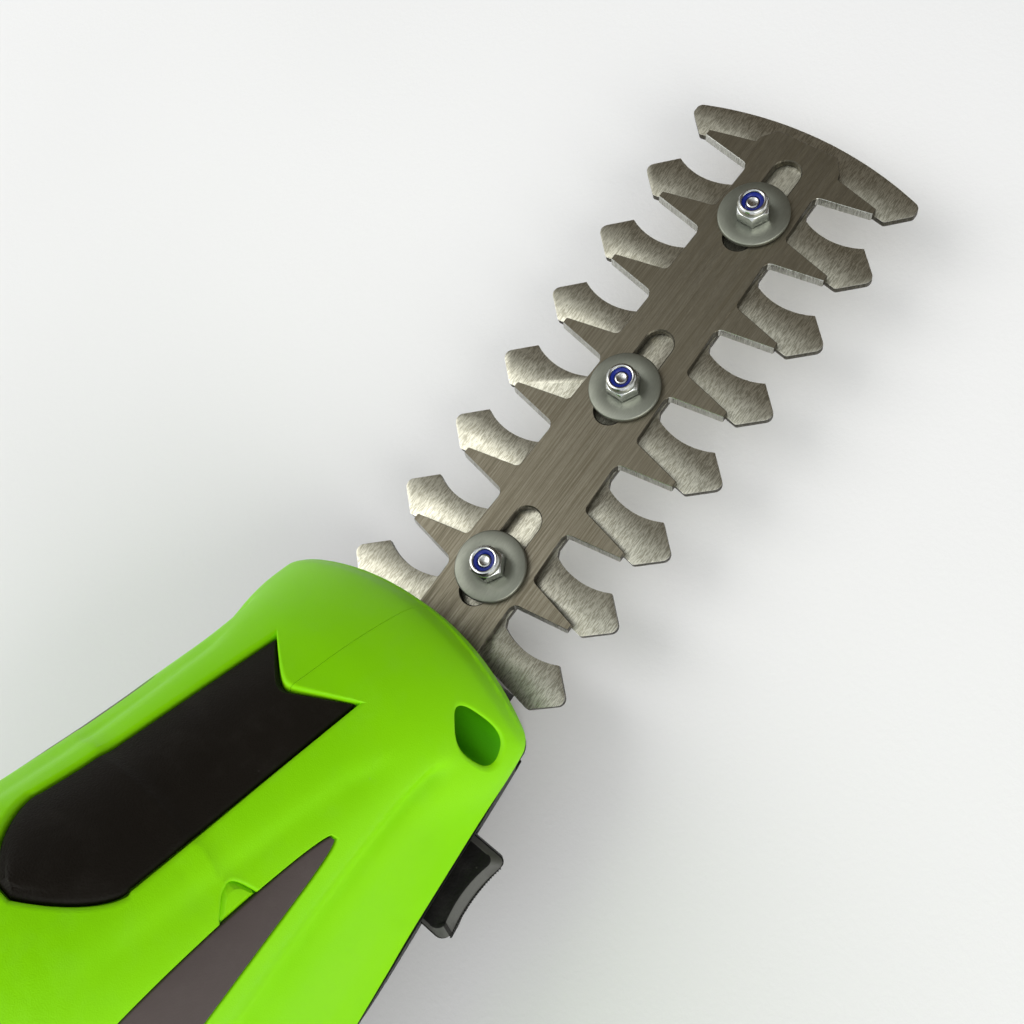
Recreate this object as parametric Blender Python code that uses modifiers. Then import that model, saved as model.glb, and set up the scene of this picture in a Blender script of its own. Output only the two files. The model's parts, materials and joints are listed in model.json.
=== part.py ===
"""Cordless shrub shears: blade pack, drive, controls, battery and casings as separate pieces.

Units are metres, +Z is up, +X points along the blade, and the floor is z = 0.
The distance d of a place is measured backwards from the nose of the casing.
"""
import math

import bmesh
import bpy
from mathutils import Matrix, Vector

mm = 0.001

# Clearances
fit_gap = 0.3 * mm
weld_distance = 0.001 * mm
through = 60.0 * mm

# Blade pack
tooth_pitch = 16.5 * mm
guard_teeth = 7
guard_thickness = 1.5 * mm
cutter_thickness = 1.6 * mm
cutter_bevel = 0.5 * mm
guard_spine_half = 8.0 * mm
guard_tooth_reach = 27.0 * mm
guard_shoulder_reach = 21.5 * mm
guard_shoulder_width = 9.9 * mm
guard_shoulder_front = 2.8 * mm
guard_arc_depth = 1.5 * mm
guard_root_width = 7.6 * mm
cutter_spine_half = 7.75 * mm
cutter_tooth_reach = 19.3 * mm
cutter_tip_width = 1.7 * mm
cutter_root_width = 5.6 * mm
end_cap_radius = 81.0 * mm
end_cap_length = 10.2 * mm
end_cap_reach = 25.6 * mm
blade_height = 16.0 * mm
first_tooth_ahead = 3.1 * mm
first_bolt_ahead = 13.2 * mm
bolt_spacing = 43.3 * mm
bolt_count = 3
slot_width = 6.0 * mm
slot_length = 22.3 * mm
slot_lead = 2.85 * mm
guard_tail = 53.0 * mm
guard_tail_half = 13.6 * mm
yoke_half = 13.2 * mm
yoke_length = 15.0 * mm

# Blade fasteners
bolt_radius = 2.0 * mm
bolt_head_radius = 4.2 * mm
bolt_head_height = 1.8 * mm
bush_wall = 0.6 * mm
washer_radius = 7.1 * mm
washer_thickness = 1.0 * mm
nut_radius = 4.0 * mm
nut_height = 2.6 * mm
collar_radius = 3.3 * mm
collar_height = 1.5 * mm
insert_radius = 2.85 * mm
insert_height = 0.9 * mm
clamp_screw_back = 12.0 * mm
clamp_screw_side = 11.1 * mm
clamp_screw_tip = 6.0 * mm

# Casings
body_length = 205.0 * mm
shell_wall = 2.4 * mm
tub_wall = 2.2 * mm
tub_recess = 0.9 * mm
tub_corner = 2.4 * mm
tub_draft = 0.24
split_height = 28.0 * mm
deck_height = 33.0 * mm
nose_bow = 8.0 * mm
bow_length = 50.0 * mm
deck_corner = 3.5 * mm
handle_squareness = 0.85
mouth_half = 16.0 * mm
mouth_low = 13.9 * mm
mouth_high = 19.2 * mm
rail_half = 2.6 * mm
rail_front = 4.0 * mm

# Raised land under the lower housing, on which the tool stands
land_front = 18.0 * mm
land_back = 172.0 * mm
land_half = 13.5 * mm
land_height = 0.8 * mm

# Width and top height of the hood at distances behind the nose
hood_stations = [
    (0.0, 28.6, 35.4), (1.4, 28.8, 39.0), (5.6, 29.2, 44.4), (12.4, 29.7, 51.1), (18.0, 30.1, 55.6),
    (30.0, 30.9, 65.0), (45.0, 31.9, 76.4), (59.0, 33.2, 87.0), (68.0, 33.6, 91.5), (77.0, 33.2, 92.5),
    (85.0, 31.0, 87.0), (89.5, 27.5, 76.0), (91.0, 24.0, 66.0)]
# Width of the base behind the hood
base_stations = [
    (0.0, 28.6), (20.0, 30.2), (45.0, 31.9), (68.0, 33.6), (90.0, 33.4), (125.0, 31.6), (155.0, 29.4),
    (180.0, 26.6), (195.0, 22.0), (202.0, 16.0), (205.0, 8.0)]
# Directions round the hood, in degrees up from its edge, and the hollow along its sides
hood_angles = [0, 11, 22, 34, 46, 59, 74, 90]
hood_inner_angles = [0, 22, 46, 68, 90]
hood_extra_place = 24.0 * mm
outline_extra_places = [8.0 * mm, 140.0 * mm]
hollow_depth = 3.2 * mm
hollow_top = 55.0
hollow_start = 6.0 * mm
hollow_full = 26.0 * mm
hollow_fade = 70.0 * mm
# Handle: distance behind the nose, height, half width and half height of the grip
handle_stations = [
    (54.0, 64.0, 15.0, 12.0), (72.0, 77.3, 18.0, 15.0), (94.0, 84.0, 17.0, 15.5),
    (120.0, 85.0, 16.5, 15.5), (146.0, 81.0, 16.5, 15.5), (167.0, 72.5, 17.0, 15.0),
    (182.0, 59.0, 18.0, 13.5), (190.5, 43.0, 19.0, 12.0), (192.5, 24.0, 20.0, 11.5)]

# Inlays: the pad on the slope above the blade, the plates on the sides, the two grips
flush = 0.1 * mm
pad_thickness = 1.4 * mm
pad_front = 22.0 * mm
pad_notch = 4.7 * mm
pad_back = 61.5 * mm
pad_half_front = 9.0 * mm
pad_half_back = 9.9 * mm
pad_corner = 0.76
pad_bulge = 0.85
pad_blunt = 0.16
pad_depth_front = 3.0 * mm
pad_depth_back = 0.6 * mm
plate_thickness = 0.8 * mm
plate_front = 32.5 * mm
plate_length = 42.0 * mm
plate_angle = 48.5
plate_rise = 5.0
plate_fall = 9.0
grip_thickness = 1.2 * mm
palm_grip_span = (1.75, 5.6, 90.0, 52.0)
finger_grip_end = 5.4
finger_grip_angles = (270.0, 50.0)
finger_grip_behind = 28.5 * mm

# Drive
gear_module = 1.0 * mm
gear_backlash = 0.28 * mm
hub_radius = 6.0 * mm
gear_teeth = 40
pinion_teeth = 10
gear_face = 5.0 * mm
gear_bottom = 26.0 * mm
gear_back = 37.0 * mm
crank_throw = 6.75 * mm
crank_ahead = 4.25 * mm
crank_pin_radius = 1.2 * mm
roller_radius = 2.6 * mm
axle_radius = 2.5 * mm
axle_head_radius = 3.7 * mm
axle_head_height = 1.5 * mm
motor_radius = 12.2 * mm
motor_length = 27.0 * mm
motor_boss_radius = 2.7 * mm
motor_shaft_radius = 1.1 * mm
drive_plate_bottom = 33.0 * mm
drive_plate_thickness = 2.5 * mm
drive_plate_half = 23.2 * mm
post_radius = 3.2 * mm
drive_post_front = 21.5 * mm
drive_post_back = 75.0 * mm
drive_plate_margin = 4.5 * mm
drive_plate_corner = 5.0 * mm
drive_post_side = 19.8 * mm
plate_screw_tip = 25.0 * mm

# Blade release buttons
release_back = 36.0 * mm
release_length = 19.5 * mm
release_height = 9.0 * mm
release_centre = 20.0 * mm
release_face = 34.0 * mm
release_window_inside = 22.0 * mm
release_dish = 1.4 * mm
release_rib = 0.35 * mm
release_ribs = 9
flange_margin = 1.4 * mm
flange_thickness = 2.0 * mm
spring_post_side = 14.6 * mm
spring_post_thickness = 1.5 * mm
spring_post_half = 5.0 * mm

# Trigger, switch and lock-off
trigger_back = 98.0 * mm
trigger_pivot_height = 73.5 * mm
trigger_width = 10.0 * mm
trigger_pin_radius = 1.5 * mm
switch_back = 109.0 * mm
switch_bottom = 83.0 * mm
switch_size = (20.0 * mm, 6.4 * mm, 9.0 * mm)
trigger_boss_radius = 3.4 * mm
trigger_pin_half = 9.0 * mm
trigger_slot_front = 5.0 * mm
trigger_slot_back = 21.5 * mm
trigger_spring_back = 16.0 * mm
trigger_spring_seat = 2.4 * mm
switch_boss_radius = 2.2 * mm
lock_off_station = 2.4
lock_off_angle = 6.0
lock_off_radius = 4.0 * mm
lock_off_flange = 1.0 * mm
lock_off_flange_thickness = 1.6 * mm
lock_off_stand = 1.6 * mm

# Springs: radius at the wire's middle and wire radius, and the number of turns
release_spring = (3.0 * mm, 0.35 * mm)
release_spring_turns = 4
trigger_spring = (2.2 * mm, 0.3 * mm)
trigger_spring_turns = 3
lock_off_spring = (2.4 * mm, 0.3 * mm)
lock_off_spring_turns = 4

# Battery and charging
cell_radius = 9.1 * mm
cell_length = 65.0 * mm
cell_back = 137.0 * mm
cell_height = 13.3 * mm
holder_half = 11.4 * mm
holder_end = 2.4 * mm
holder_side_height = 11.0 * mm
board_back = 89.0 * mm
board_size = (24.0 * mm, 26.0 * mm, 1.6 * mm)
board_height = 20.0 * mm
board_post_radius = 1.8 * mm
board_post_inset = 3.0 * mm
socket_height = 14.0 * mm
socket_radius = 4.2 * mm
socket_length = 13.0 * mm
socket_bore = 2.9 * mm
socket_pin = 0.9 * mm
socket_flange = 1.3 * mm
lens_back = 100.0 * mm
lens_side = 14.0 * mm
lens_radius = 1.8 * mm

# Screws of the casings
screw_radius = 1.4 * mm
screw_head_radius = 2.8 * mm
screw_head_height = 1.8 * mm
boss_radius = 4.3 * mm
counterbore_radius = 3.2 * mm
counterbore_floor = 10.0 * mm
shell_screw_places = [(11.4, 39.7), (46.4, 67.5), (81.5, 45.5), (134.0, 83.5), (187.5, 50.0)]
shell_screw_reach = 8.4 * mm
base_screw_places = [(12.5, 18.2), (12.5, -18.2), (104.0, 19.5), (104.0, -19.5)]
base_screw_seat = 9.0 * mm
base_boss_radius = 4.1 * mm
base_screw_reach = 3.0 * mm

# Colour, roughness and metallic value of each finish
finishes = {
    "green_shell": ((0.26, 0.65, 0.01), 0.35, 0.0),
    "black_tub": ((0.014, 0.013, 0.012), 0.45, 0.0),
    "soft_black": ((0.011, 0.009, 0.007), 0.7, 0.0),
    "side_plate": ((0.072, 0.056, 0.053), 0.4, 0.0),
    "blade_steel": ((0.30, 0.27, 0.23), 0.38, 1.0),
    "plated_steel": ((0.52, 0.56, 0.53), 0.3, 1.0),
    "spring_steel": ((0.42, 0.42, 0.42), 0.3, 1.0),
    "brass": ((0.6, 0.42, 0.12), 0.35, 1.0),
    "nylon_blue": ((0.01, 0.02, 0.2), 0.4, 0.0),
    "acetal": ((0.75, 0.73, 0.68), 0.5, 0.0),
    "cell_wrap": ((0.03, 0.12, 0.32), 0.35, 0.0),
    "board_green": ((0.02, 0.15, 0.05), 0.45, 0.0),
    "clear_lens": ((0.75, 0.8, 0.78), 0.15, 0.0)}

# Worked out from the sizes above
tooth_to_tip = guard_teeth * tooth_pitch - guard_shoulder_width + guard_shoulder_front + end_cap_length
nose_x = (body_length - first_tooth_ahead - tooth_to_tip) / 2
first_tooth_x = nose_x + first_tooth_ahead
cutter_bottom = blade_height + fit_gap
cutter_top = cutter_bottom + cutter_thickness
gear_x = nose_x - gear_back
rail_top = blade_height - guard_thickness
nose_half = base_stations[0][1] * mm
motor_x = gear_x - gear_module * (gear_teeth + pinion_teeth) / 2


def interpolate(table, place, column):
    """Read one column of a table of stations (in mm) by a smooth curve through its rows."""
    rows = [(row[0] * mm, row[column] * mm) for row in table]
    place = min(max(place, rows[0][0]), rows[-1][0])
    index = max(i for i in range(len(rows) - 1) if rows[i][0] <= place)
    (x0, y0), (x1, y1) = rows[index], rows[index + 1]
    before = rows[index - 1] if index else (2 * x0 - x1, 2 * y0 - y1)
    after = rows[index + 2] if index + 2 < len(rows) else (2 * x1 - x0, 2 * y1 - y0)
    slope0 = (y1 - before[1]) / (x1 - before[0])
    slope1 = (after[1] - y0) / (after[0] - x0)
    span = x1 - x0
    t = (place - x0) / span
    return ((2 * t**3 - 3 * t**2 + 1) * y0 + (t**3 - 2 * t**2 + t) * span * slope0
            + (3 * t**2 - 2 * t**3) * y1 + (t**3 - t**2) * span * slope1)


def new_collection(name):
    """Make a collection in the scene."""
    collection = bpy.data.collections.new(name)
    bpy.context.scene.collection.children.link(collection)
    return collection


def material(name, colour, roughness, metallic):
    """Make a Principled material of one colour."""
    mat = bpy.data.materials.new(name)
    mat.use_nodes = True
    shader = mat.node_tree.nodes["Principled BSDF"]
    shader.inputs["Base Color"].default_value = (*colour, 1.0)
    shader.inputs["Roughness"].default_value = roughness
    shader.inputs["Metallic"].default_value = metallic
    mat.diffuse_color = (*colour, 1.0)
    return mat


def finish_mesh(name, bm, mat, collection, place=(0, 0, 0), turn=(0, 0, 0)):
    """Turn a bmesh into a named object with smooth faces and sharp edges kept."""
    bmesh.ops.recalc_face_normals(bm, faces=bm.faces)
    mesh = bpy.data.meshes.new(name)
    bm.to_mesh(mesh)
    bm.free()
    obj = bpy.data.objects.new(name, mesh)
    obj.location = place
    obj.rotation_euler = [math.radians(angle) for angle in turn]
    if mat:
        mesh.materials.append(mat)
    collection.objects.link(obj)
    shade(mesh)
    return obj


def shade(mesh):
    """Shade a mesh smooth, with sharp edges where its faces turn."""
    mesh.shade_smooth()
    mesh.set_sharp_from_angle(angle=math.radians(35))


def apply_modifiers(obj):
    """Put the result of an object's modifiers into its mesh and weld what meets."""
    bpy.context.view_layer.update()
    mesh = bpy.data.meshes.new_from_object(obj.evaluated_get(bpy.context.evaluated_depsgraph_get()))
    old = obj.data
    obj.modifiers.clear()
    obj.data = mesh
    bpy.data.meshes.remove(old)
    bm = bmesh.new()
    bm.from_mesh(mesh)
    bmesh.ops.remove_doubles(bm, verts=bm.verts, dist=weld_distance)
    bmesh.ops.dissolve_degenerate(bm, edges=bm.edges, dist=weld_distance)
    bmesh.ops.recalc_face_normals(bm, faces=bm.faces)
    bm.to_mesh(mesh)
    bm.free()
    shade(mesh)


def prism(name, outline, low, high, mat, collection, place=(0, 0, 0), axis="Z", top_bevel=(0, 1),
          low_bevel=(0, 1)):
    """Fill a flat outline and give it a thickness, with a bevel (width, segments) round its rims.

    Along Z the outline is seen from above; along Y it is seen from the right, as (x, z).
    """
    curve = bpy.data.curves.new(name, "CURVE")
    curve.dimensions = "2D"
    curve.fill_mode = "BOTH"
    curve.extrude = (high - low) / 2
    spline = curve.splines.new("POLY")
    spline.points.add(len(outline) - 1)
    for point, (x, y) in zip(spline.points, outline):
        point.co = (x, y, 0, 1)
    spline.use_cyclic_u = True
    guide = bpy.data.objects.new(name, curve)
    collection.objects.link(guide)
    bpy.context.view_layer.update()
    mesh = bpy.data.meshes.new_from_object(guide.evaluated_get(bpy.context.evaluated_depsgraph_get()))
    bpy.data.objects.remove(guide)
    bpy.data.curves.remove(curve)
    bm = bmesh.new()
    bm.from_mesh(mesh)
    bpy.data.meshes.remove(mesh)
    bmesh.ops.remove_doubles(bm, verts=bm.verts, dist=weld_distance)
    bmesh.ops.translate(bm, verts=bm.verts, vec=(0, 0, (low + high) / 2))
    for level in (low, high):
        cap = [f for f in bm.faces if all(abs(v.co.z - level) < weld_distance for v in f.verts)]
        bmesh.ops.dissolve_faces(bm, faces=cap)
    for level, (offset, segments) in ((high, top_bevel), (low, low_bevel)):
        if offset:
            rim = [e for e in bm.edges if all(abs(v.co.z - level) < weld_distance for v in e.verts)]
            bmesh.ops.bevel(bm, geom=rim, offset=offset, segments=segments, profile=0.5, affect="EDGES",
                            clamp_overlap=True)
    turn = {"Z": (0, 0, 0), "Y": (90, 0, 0)}[axis]
    return finish_mesh(name, bm, mat, collection, place, turn)


def box(name, low, high, mat, collection, bevel=0.0, segments=2):
    """Make a box between two corners, with rounded edges where a bevel is given."""
    size = [b - a for a, b in zip(low, high)]
    middle = [(a + b) / 2 for a, b in zip(low, high)]
    bm = bmesh.new()
    bmesh.ops.create_cube(bm, size=1.0, matrix=Matrix.Diagonal((*size, 1)))
    if bevel:
        bmesh.ops.bevel(bm, geom=bm.edges, offset=bevel, segments=segments, affect="EDGES")
    return finish_mesh(name, bm, mat, collection, middle)


axis_turns = {"Z": (0, 0, 0), "Y": (-90, 0, 0), "X": (0, 90, 0)}


def turned(name, profile, place, mat, collection, axis="Z", sides=32):
    """Turn a profile of (radius, height) pairs about an axis through a place.

    A profile that starts and ends at radius 0 is a solid; one that doesn't is closed into a ring.
    """
    bm = bmesh.new()
    verts = [bm.verts.new((radius, 0, height)) for radius, height in profile]
    pairs = list(zip(verts, verts[1:]))
    if profile[0][0] > 0:
        pairs.append((verts[-1], verts[0]))
    for pair in pairs:
        bm.edges.new(pair)
    obj = finish_mesh(name, bm, mat, collection, place, axis_turns[axis])
    lathe = obj.modifiers.new("turn", "SCREW")
    lathe.steps = lathe.render_steps = sides
    lathe.use_merge_vertices = True
    lathe.merge_threshold = weld_distance
    apply_modifiers(obj)
    return obj


def cylinder(name, radius, low, high, place, mat, collection, axis="Z", sides=32):
    """Make a plain cylinder along an axis, from low to high measured from a place."""
    bm = bmesh.new()
    bmesh.ops.create_cone(bm, cap_ends=True, segments=sides, radius1=radius, radius2=radius,
                          depth=high - low, matrix=Matrix.Translation((0, 0, (low + high) / 2)))
    return finish_mesh(name, bm, mat, collection, place, axis_turns[axis])


def loft(name, rings, mat, collection):
    """Skin a row of flat rings of points and close both ends."""
    bm = bmesh.new()
    rows = [[bm.verts.new(point) for point in ring] for ring in rings]
    count = len(rows[0])
    walls = []
    for low, high in zip(rows, rows[1:]):
        for i in range(count):
            j = (i + 1) % count
            walls.append(bm.faces.new((low[i], low[j], high[j], high[i])))
    bm.faces.new(rows[0])
    bm.faces.new(rows[-1])
    bmesh.ops.triangulate(bm, faces=walls)
    return finish_mesh(name, bm, mat, collection)


def vault(name, arches, low, mat, collection):
    """Skin a row of arches and close them down to a flat underside; the first arch may be bowed."""
    bm = bmesh.new()
    rows = [[bm.verts.new(point) for point in arch] for arch in arches]
    feet = [[bm.verts.new((p.x, p.y, low)) for p in arches[0]]]
    feet += [[bm.verts.new((p.x, p.y, low)) for p in (arch[0], arch[-1])] for arch in arches[1:]]
    walls = []
    for near, far in zip(rows, rows[1:]):
        walls += [bm.faces.new((near[i], near[i + 1], far[i + 1], far[i])) for i in range(len(near) - 1)]
    for row, foot, far, far_foot in zip(rows, feet, rows[1:], feet[1:]):
        for end in (0, -1):
            bm.faces.new((row[end], far[end], far_foot[end], foot[end]))
    for i in range(len(feet[0]) - 1):
        bm.faces.new((rows[0][i], rows[0][i + 1], feet[0][i + 1], feet[0][i]))
    bm.faces.new(rows[-1] + [feet[-1][1], feet[-1][0]])
    bm.faces.new(feet[0] + [foot[-1] for foot in feet[1:]] + [foot[0] for foot in reversed(feet[1:])])
    bmesh.ops.triangulate(bm, faces=walls)
    return finish_mesh(name, bm, mat, collection)


def skin_block(name, outer, inner, mat, collection):
    """Close two matching grids of points, an outer and an inner one, into a curved slab."""
    bm = bmesh.new()
    sheets = [[[bm.verts.new(p) for p in row] for row in sheet] for sheet in (outer, inner)]
    rows, columns = len(outer), len(outer[0])
    for sheet in sheets:
        for i in range(rows - 1):
            for j in range(columns - 1):
                bm.faces.new((sheet[i][j], sheet[i + 1][j], sheet[i + 1][j + 1], sheet[i][j + 1]))
    rim = [(0, j) for j in range(columns)] + [(i, columns - 1) for i in range(1, rows)]
    rim += [(rows - 1, j) for j in range(columns - 2, -1, -1)] + [(i, 0) for i in range(rows - 2, 0, -1)]
    for (i, j), (k, m) in zip(rim, rim[1:] + rim[:1]):
        bm.faces.new((sheets[0][i][j], sheets[0][k][m], sheets[1][k][m], sheets[1][i][j]))
    bmesh.ops.triangulate(bm, faces=bm.faces)
    return finish_mesh(name, bm, mat, collection)


def combine(target, tools, operation="DIFFERENCE"):
    """Apply Boolean modifiers with a list of tool objects, then remove the tools."""
    for tool in tools:
        modifier = target.modifiers.new(operation.lower(), "BOOLEAN")
        modifier.operation = operation
        modifier.solver = "EXACT"
        modifier.object = tool
    apply_modifiers(target)
    for tool in tools:
        tool_mesh = tool.data
        bpy.data.objects.remove(tool)
        bpy.data.meshes.remove(tool_mesh)
    return target


def merge_flat_faces(obj):
    """Join the faces of a finished mesh that lie in one plane, and drop points on straight edges."""
    bm = bmesh.new()
    bm.from_mesh(obj.data)
    bmesh.ops.dissolve_limit(bm, angle_limit=math.radians(0.3), verts=bm.verts, edges=bm.edges)
    bmesh.ops.triangulate(bm, faces=bm.faces)
    bm.to_mesh(obj.data)
    bm.free()
    shade(obj.data)


def copy_of(obj, name, collection):
    """Copy an object with its own mesh."""
    twin = obj.copy()
    twin.data = obj.data.copy()
    twin.name = name
    collection.objects.link(twin)
    return twin


def rounded(corners, steps=3):
    """Replace each (x, y, radius) corner of a closed outline by a round one."""
    outline = []
    count = len(corners)
    for i, (x, y, radius) in enumerate(corners):
        here = Vector((x, y))
        if radius == 0:
            outline.append((x, y))
            continue
        back = (Vector(corners[i - 1][:2]) - here)
        ahead = (Vector(corners[(i + 1) % count][:2]) - here)
        angle = back.angle(ahead)
        reach = radius / math.tan(angle / 2)
        start = here + back.normalized() * reach
        middle = here + (back.normalized() + ahead.normalized()).normalized() * radius / math.sin(angle / 2)
        first = math.atan2(start.y - middle.y, start.x - middle.x)
        turn = math.pi - angle
        side = 1 if back.x * ahead.y - back.y * ahead.x < 0 else -1
        for k in range(steps + 1):
            a = first + side * turn * k / steps
            outline.append((middle.x + radius * math.cos(a), middle.y + radius * math.sin(a)))
    return outline


def bowed_edge(start, end, depth, steps):
    """Points of an arc between two places that bows to the right of the way by a depth."""
    start, end = Vector(start), Vector(end)
    chord = end - start
    right = Vector((chord.y, -chord.x)).normalized()
    radius = (chord.length / 2) ** 2 / (2 * depth) + depth / 2
    points = []
    for k in range(1, steps):
        along = (k / steps - 0.5) * chord.length
        lift = math.sqrt(radius**2 - along**2) - (radius - depth)
        point = start + chord * (k / steps) + right * lift
        points.append((point.x, point.y, 0))
    return points


def both_sides(half):
    """Close an outline given for +Y, from back to front, with its mirror image."""
    return half + [(x, -y, r) for x, y, r in reversed(half)]


def tooth_x(number):
    """Place of a guard tooth along X; the first is number 1."""
    return first_tooth_x + (number - 1) * tooth_pitch


def guard_outline():
    """Outline of the fixed guard blade with its blunt, five-sided teeth."""
    tail = nose_x - guard_tail
    half = [(tail, guard_tail_half, 3 * mm), (nose_x - 8 * mm, guard_tail_half, 2 * mm),
            (nose_x - 5 * mm, guard_spine_half, 2 * mm)]
    rear = guard_shoulder_front - guard_shoulder_width
    point = guard_shoulder_front - guard_shoulder_width / 2
    root_front = guard_shoulder_front - 0.2 * mm
    root_rear = root_front - guard_root_width
    for number in range(1, guard_teeth + 1):
        x = tooth_x(number)
        shoulder = (x + guard_shoulder_front, guard_shoulder_reach)
        root = (x + root_front, guard_spine_half + 0.7 * mm)
        half += [(x + root_rear, guard_spine_half, 1.6 * mm), (x + rear, guard_shoulder_reach, 0.8 * mm),
                 (x + point, guard_tooth_reach, 1.6 * mm), (*shoulder, 0)]
        half += bowed_edge(shoulder, root, guard_arc_depth, 4)
        half += [(*root, 0), (x + root_front + 1.4 * mm, guard_spine_half, 0)]
    x = tooth_x(guard_teeth + 1)
    tip = x + rear + end_cap_length
    corner_back = end_cap_radius - math.sqrt(end_cap_radius**2 - end_cap_reach**2)
    half += [(x + root_rear, guard_spine_half, 1.6 * mm), (x + rear, guard_shoulder_reach, 0.8 * mm),
             (x + rear + 3.8 * mm, end_cap_reach, 1.0 * mm),
             (tip - corner_back, end_cap_reach, 1.4 * mm)]
    for share in (0.75, 0.5, 0.25):
        y = share * end_cap_reach
        half.append((tip - end_cap_radius + math.sqrt(end_cap_radius**2 - y**2), y, 0))
    outline = half + [(tip, 0, 0)] + [(x, -y, r) for x, y, r in reversed(half)]
    return rounded(outline, steps=2)


def cutter_outline():
    """Outline of the moving cutting blade with its narrow teeth and the yoke at its tail."""
    yoke_front = gear_x + crank_ahead + yoke_length / 2
    half = [(yoke_front - yoke_length, yoke_half, 2 * mm), (yoke_front, yoke_half, 2 * mm),
            (yoke_front + 3 * mm, cutter_spine_half, 2 * mm)]
    rear = guard_shoulder_front - guard_shoulder_width
    for number in range(2, guard_teeth + 2):
        x = tooth_x(number) + rear
        half += [(x - 2.9 * mm, cutter_spine_half, 1.4 * mm),
                 (x - 0.9 * mm, cutter_tooth_reach, 0),
                 (x - 0.9 * mm + cutter_tip_width, cutter_tooth_reach, 0),
                 (x - 2.9 * mm + cutter_root_width + 0.5 * mm, cutter_spine_half + 0.4 * mm, 1.2 * mm)]
    x = tooth_x(guard_teeth + 1)
    half[-1] = (x - 4.2 * mm, 9.4 * mm, 0.6 * mm)
    half += [(x - 3.0 * mm, 9.2 * mm, 0.6 * mm), (x - 0.1 * mm, 6.8 * mm, 0.6 * mm)]
    return rounded(both_sides(half), steps=2)


def blade_pack(parts, cutters, mats):
    """Guard blade, cutting blade and the bolts, bushes, washers and nuts that hold them."""
    steel, plated, nylon = mats["blade_steel"], mats["plated_steel"], mats["nylon_blue"]
    guard = prism("guard_blade", guard_outline(), blade_height - guard_thickness, blade_height, steel, parts)
    cutter = prism("cutting_blade", cutter_outline(), cutter_bottom, cutter_top, steel, parts,
                   top_bevel=(cutter_bevel, 1))
    bush_radius = slot_width / 2 - fit_gap
    hole = bolt_radius + fit_gap
    washer_bottom = cutter_top + fit_gap
    washer_top = washer_bottom + washer_thickness
    nut_bottom = washer_top + fit_gap
    collar_bottom = nut_bottom + nut_height
    nut_top = collar_bottom + collar_height
    guard_holes = []
    slots = []
    for i in range(bolt_count):
        x = nose_x + first_bolt_ahead + i * bolt_spacing
        here = (x, 0, 0)
        under = blade_height - guard_thickness - fit_gap
        turned(f"blade_bolt_{i + 1}",
               [(0, under - bolt_head_height), (bolt_head_radius * 0.8, under - bolt_head_height),
                (bolt_head_radius, under - bolt_head_height * 0.6), (bolt_head_radius, under),
                (bolt_radius, under), (bolt_radius, nut_top - 0.6 * mm), (0, nut_top - 0.6 * mm)],
               here, plated, parts, sides=14)
        turned(f"slot_bush_{i + 1}",
               [(bush_radius - bush_wall, blade_height + fit_gap),
                (bush_radius, blade_height + fit_gap), (bush_radius, cutter_top),
                (bush_radius - bush_wall, cutter_top)][::-1], here, plated, parts, sides=16)
        turned(f"blade_washer_{i + 1}",
               [(hole, washer_bottom), (washer_radius, washer_bottom),
                (washer_radius, washer_top - 0.2 * mm), (washer_radius - 0.2 * mm, washer_top),
                (hole, washer_top)][::-1], here, plated, parts, sides=24)
        nut = turned(f"lock_nut_{i + 1}",
                     [(hole, nut_bottom), (nut_radius, nut_bottom), (nut_radius, collar_bottom - 0.5 * mm),
                      (nut_radius * 0.9, collar_bottom), (hole, collar_bottom)][::-1],
                     here, plated, parts, sides=6)
        collar = turned("collar", [(insert_radius + fit_gap / 2, collar_bottom - 0.2 * mm),
                                   (collar_radius, collar_bottom - 0.2 * mm), (collar_radius, nut_top),
                                   (insert_radius + fit_gap / 2, nut_top)][::-1],
                        here, None, cutters, sides=12)
        combine(nut, [collar], "UNION")
        insert_bottom = collar_bottom + fit_gap
        turned(f"nut_insert_{i + 1}",
               [(hole, insert_bottom), (insert_radius, insert_bottom),
                (insert_radius, insert_bottom + insert_height), (hole, insert_bottom + insert_height)][::-1],
               here, nylon, parts, sides=12)
        guard_holes.append(cylinder("bolt_hole", hole, -mm, blade_height + 5 * mm, here, None, cutters,
                                    sides=14))
        reach = slot_length / 2 - slot_width / 2
        middle = x + slot_lead
        ends = [(middle - reach, -1), (middle + reach, 1)]
        outline = []
        for end, side in ends:
            for k in range(9):
                a = math.radians(90 - 180 * k / 8) if side > 0 else math.radians(270 - 180 * k / 8)
                outline.append((end + slot_width / 2 * math.cos(a), slot_width / 2 * math.sin(a)))
        slots.append(prism("slot", outline, cutter_bottom - mm, cutter_top + mm, None, cutters))
    for side in (-1, 1):
        here = (nose_x - clamp_screw_back, side * clamp_screw_side, 0)
        guard_holes.append(cylinder("clamp_hole", screw_radius + fit_gap, -mm, blade_height + 5 * mm, here,
                                    None, cutters, sides=12))
    combine(guard, guard_holes)
    yoke_reach = crank_throw + roller_radius + 0.5 * mm
    yoke_x = gear_x + crank_ahead
    slots.append(box("yoke_slot", (yoke_x - roller_radius - fit_gap, -yoke_reach, cutter_bottom - mm),
                     (yoke_x + roller_radius + fit_gap, yoke_reach, cutter_top + mm), None, cutters))
    combine(cutter, slots)


def bow(d):
    """How far the sides of the nose lie behind its middle, fading out along the body."""
    return nose_bow * max(0.0, 1 - d / bow_length)


def smooth(share):
    """Ease a share from 0 to 1 and hold it there."""
    share = min(max(share, 0.0), 1.0)
    return share * share * (3 - 2 * share)


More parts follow.
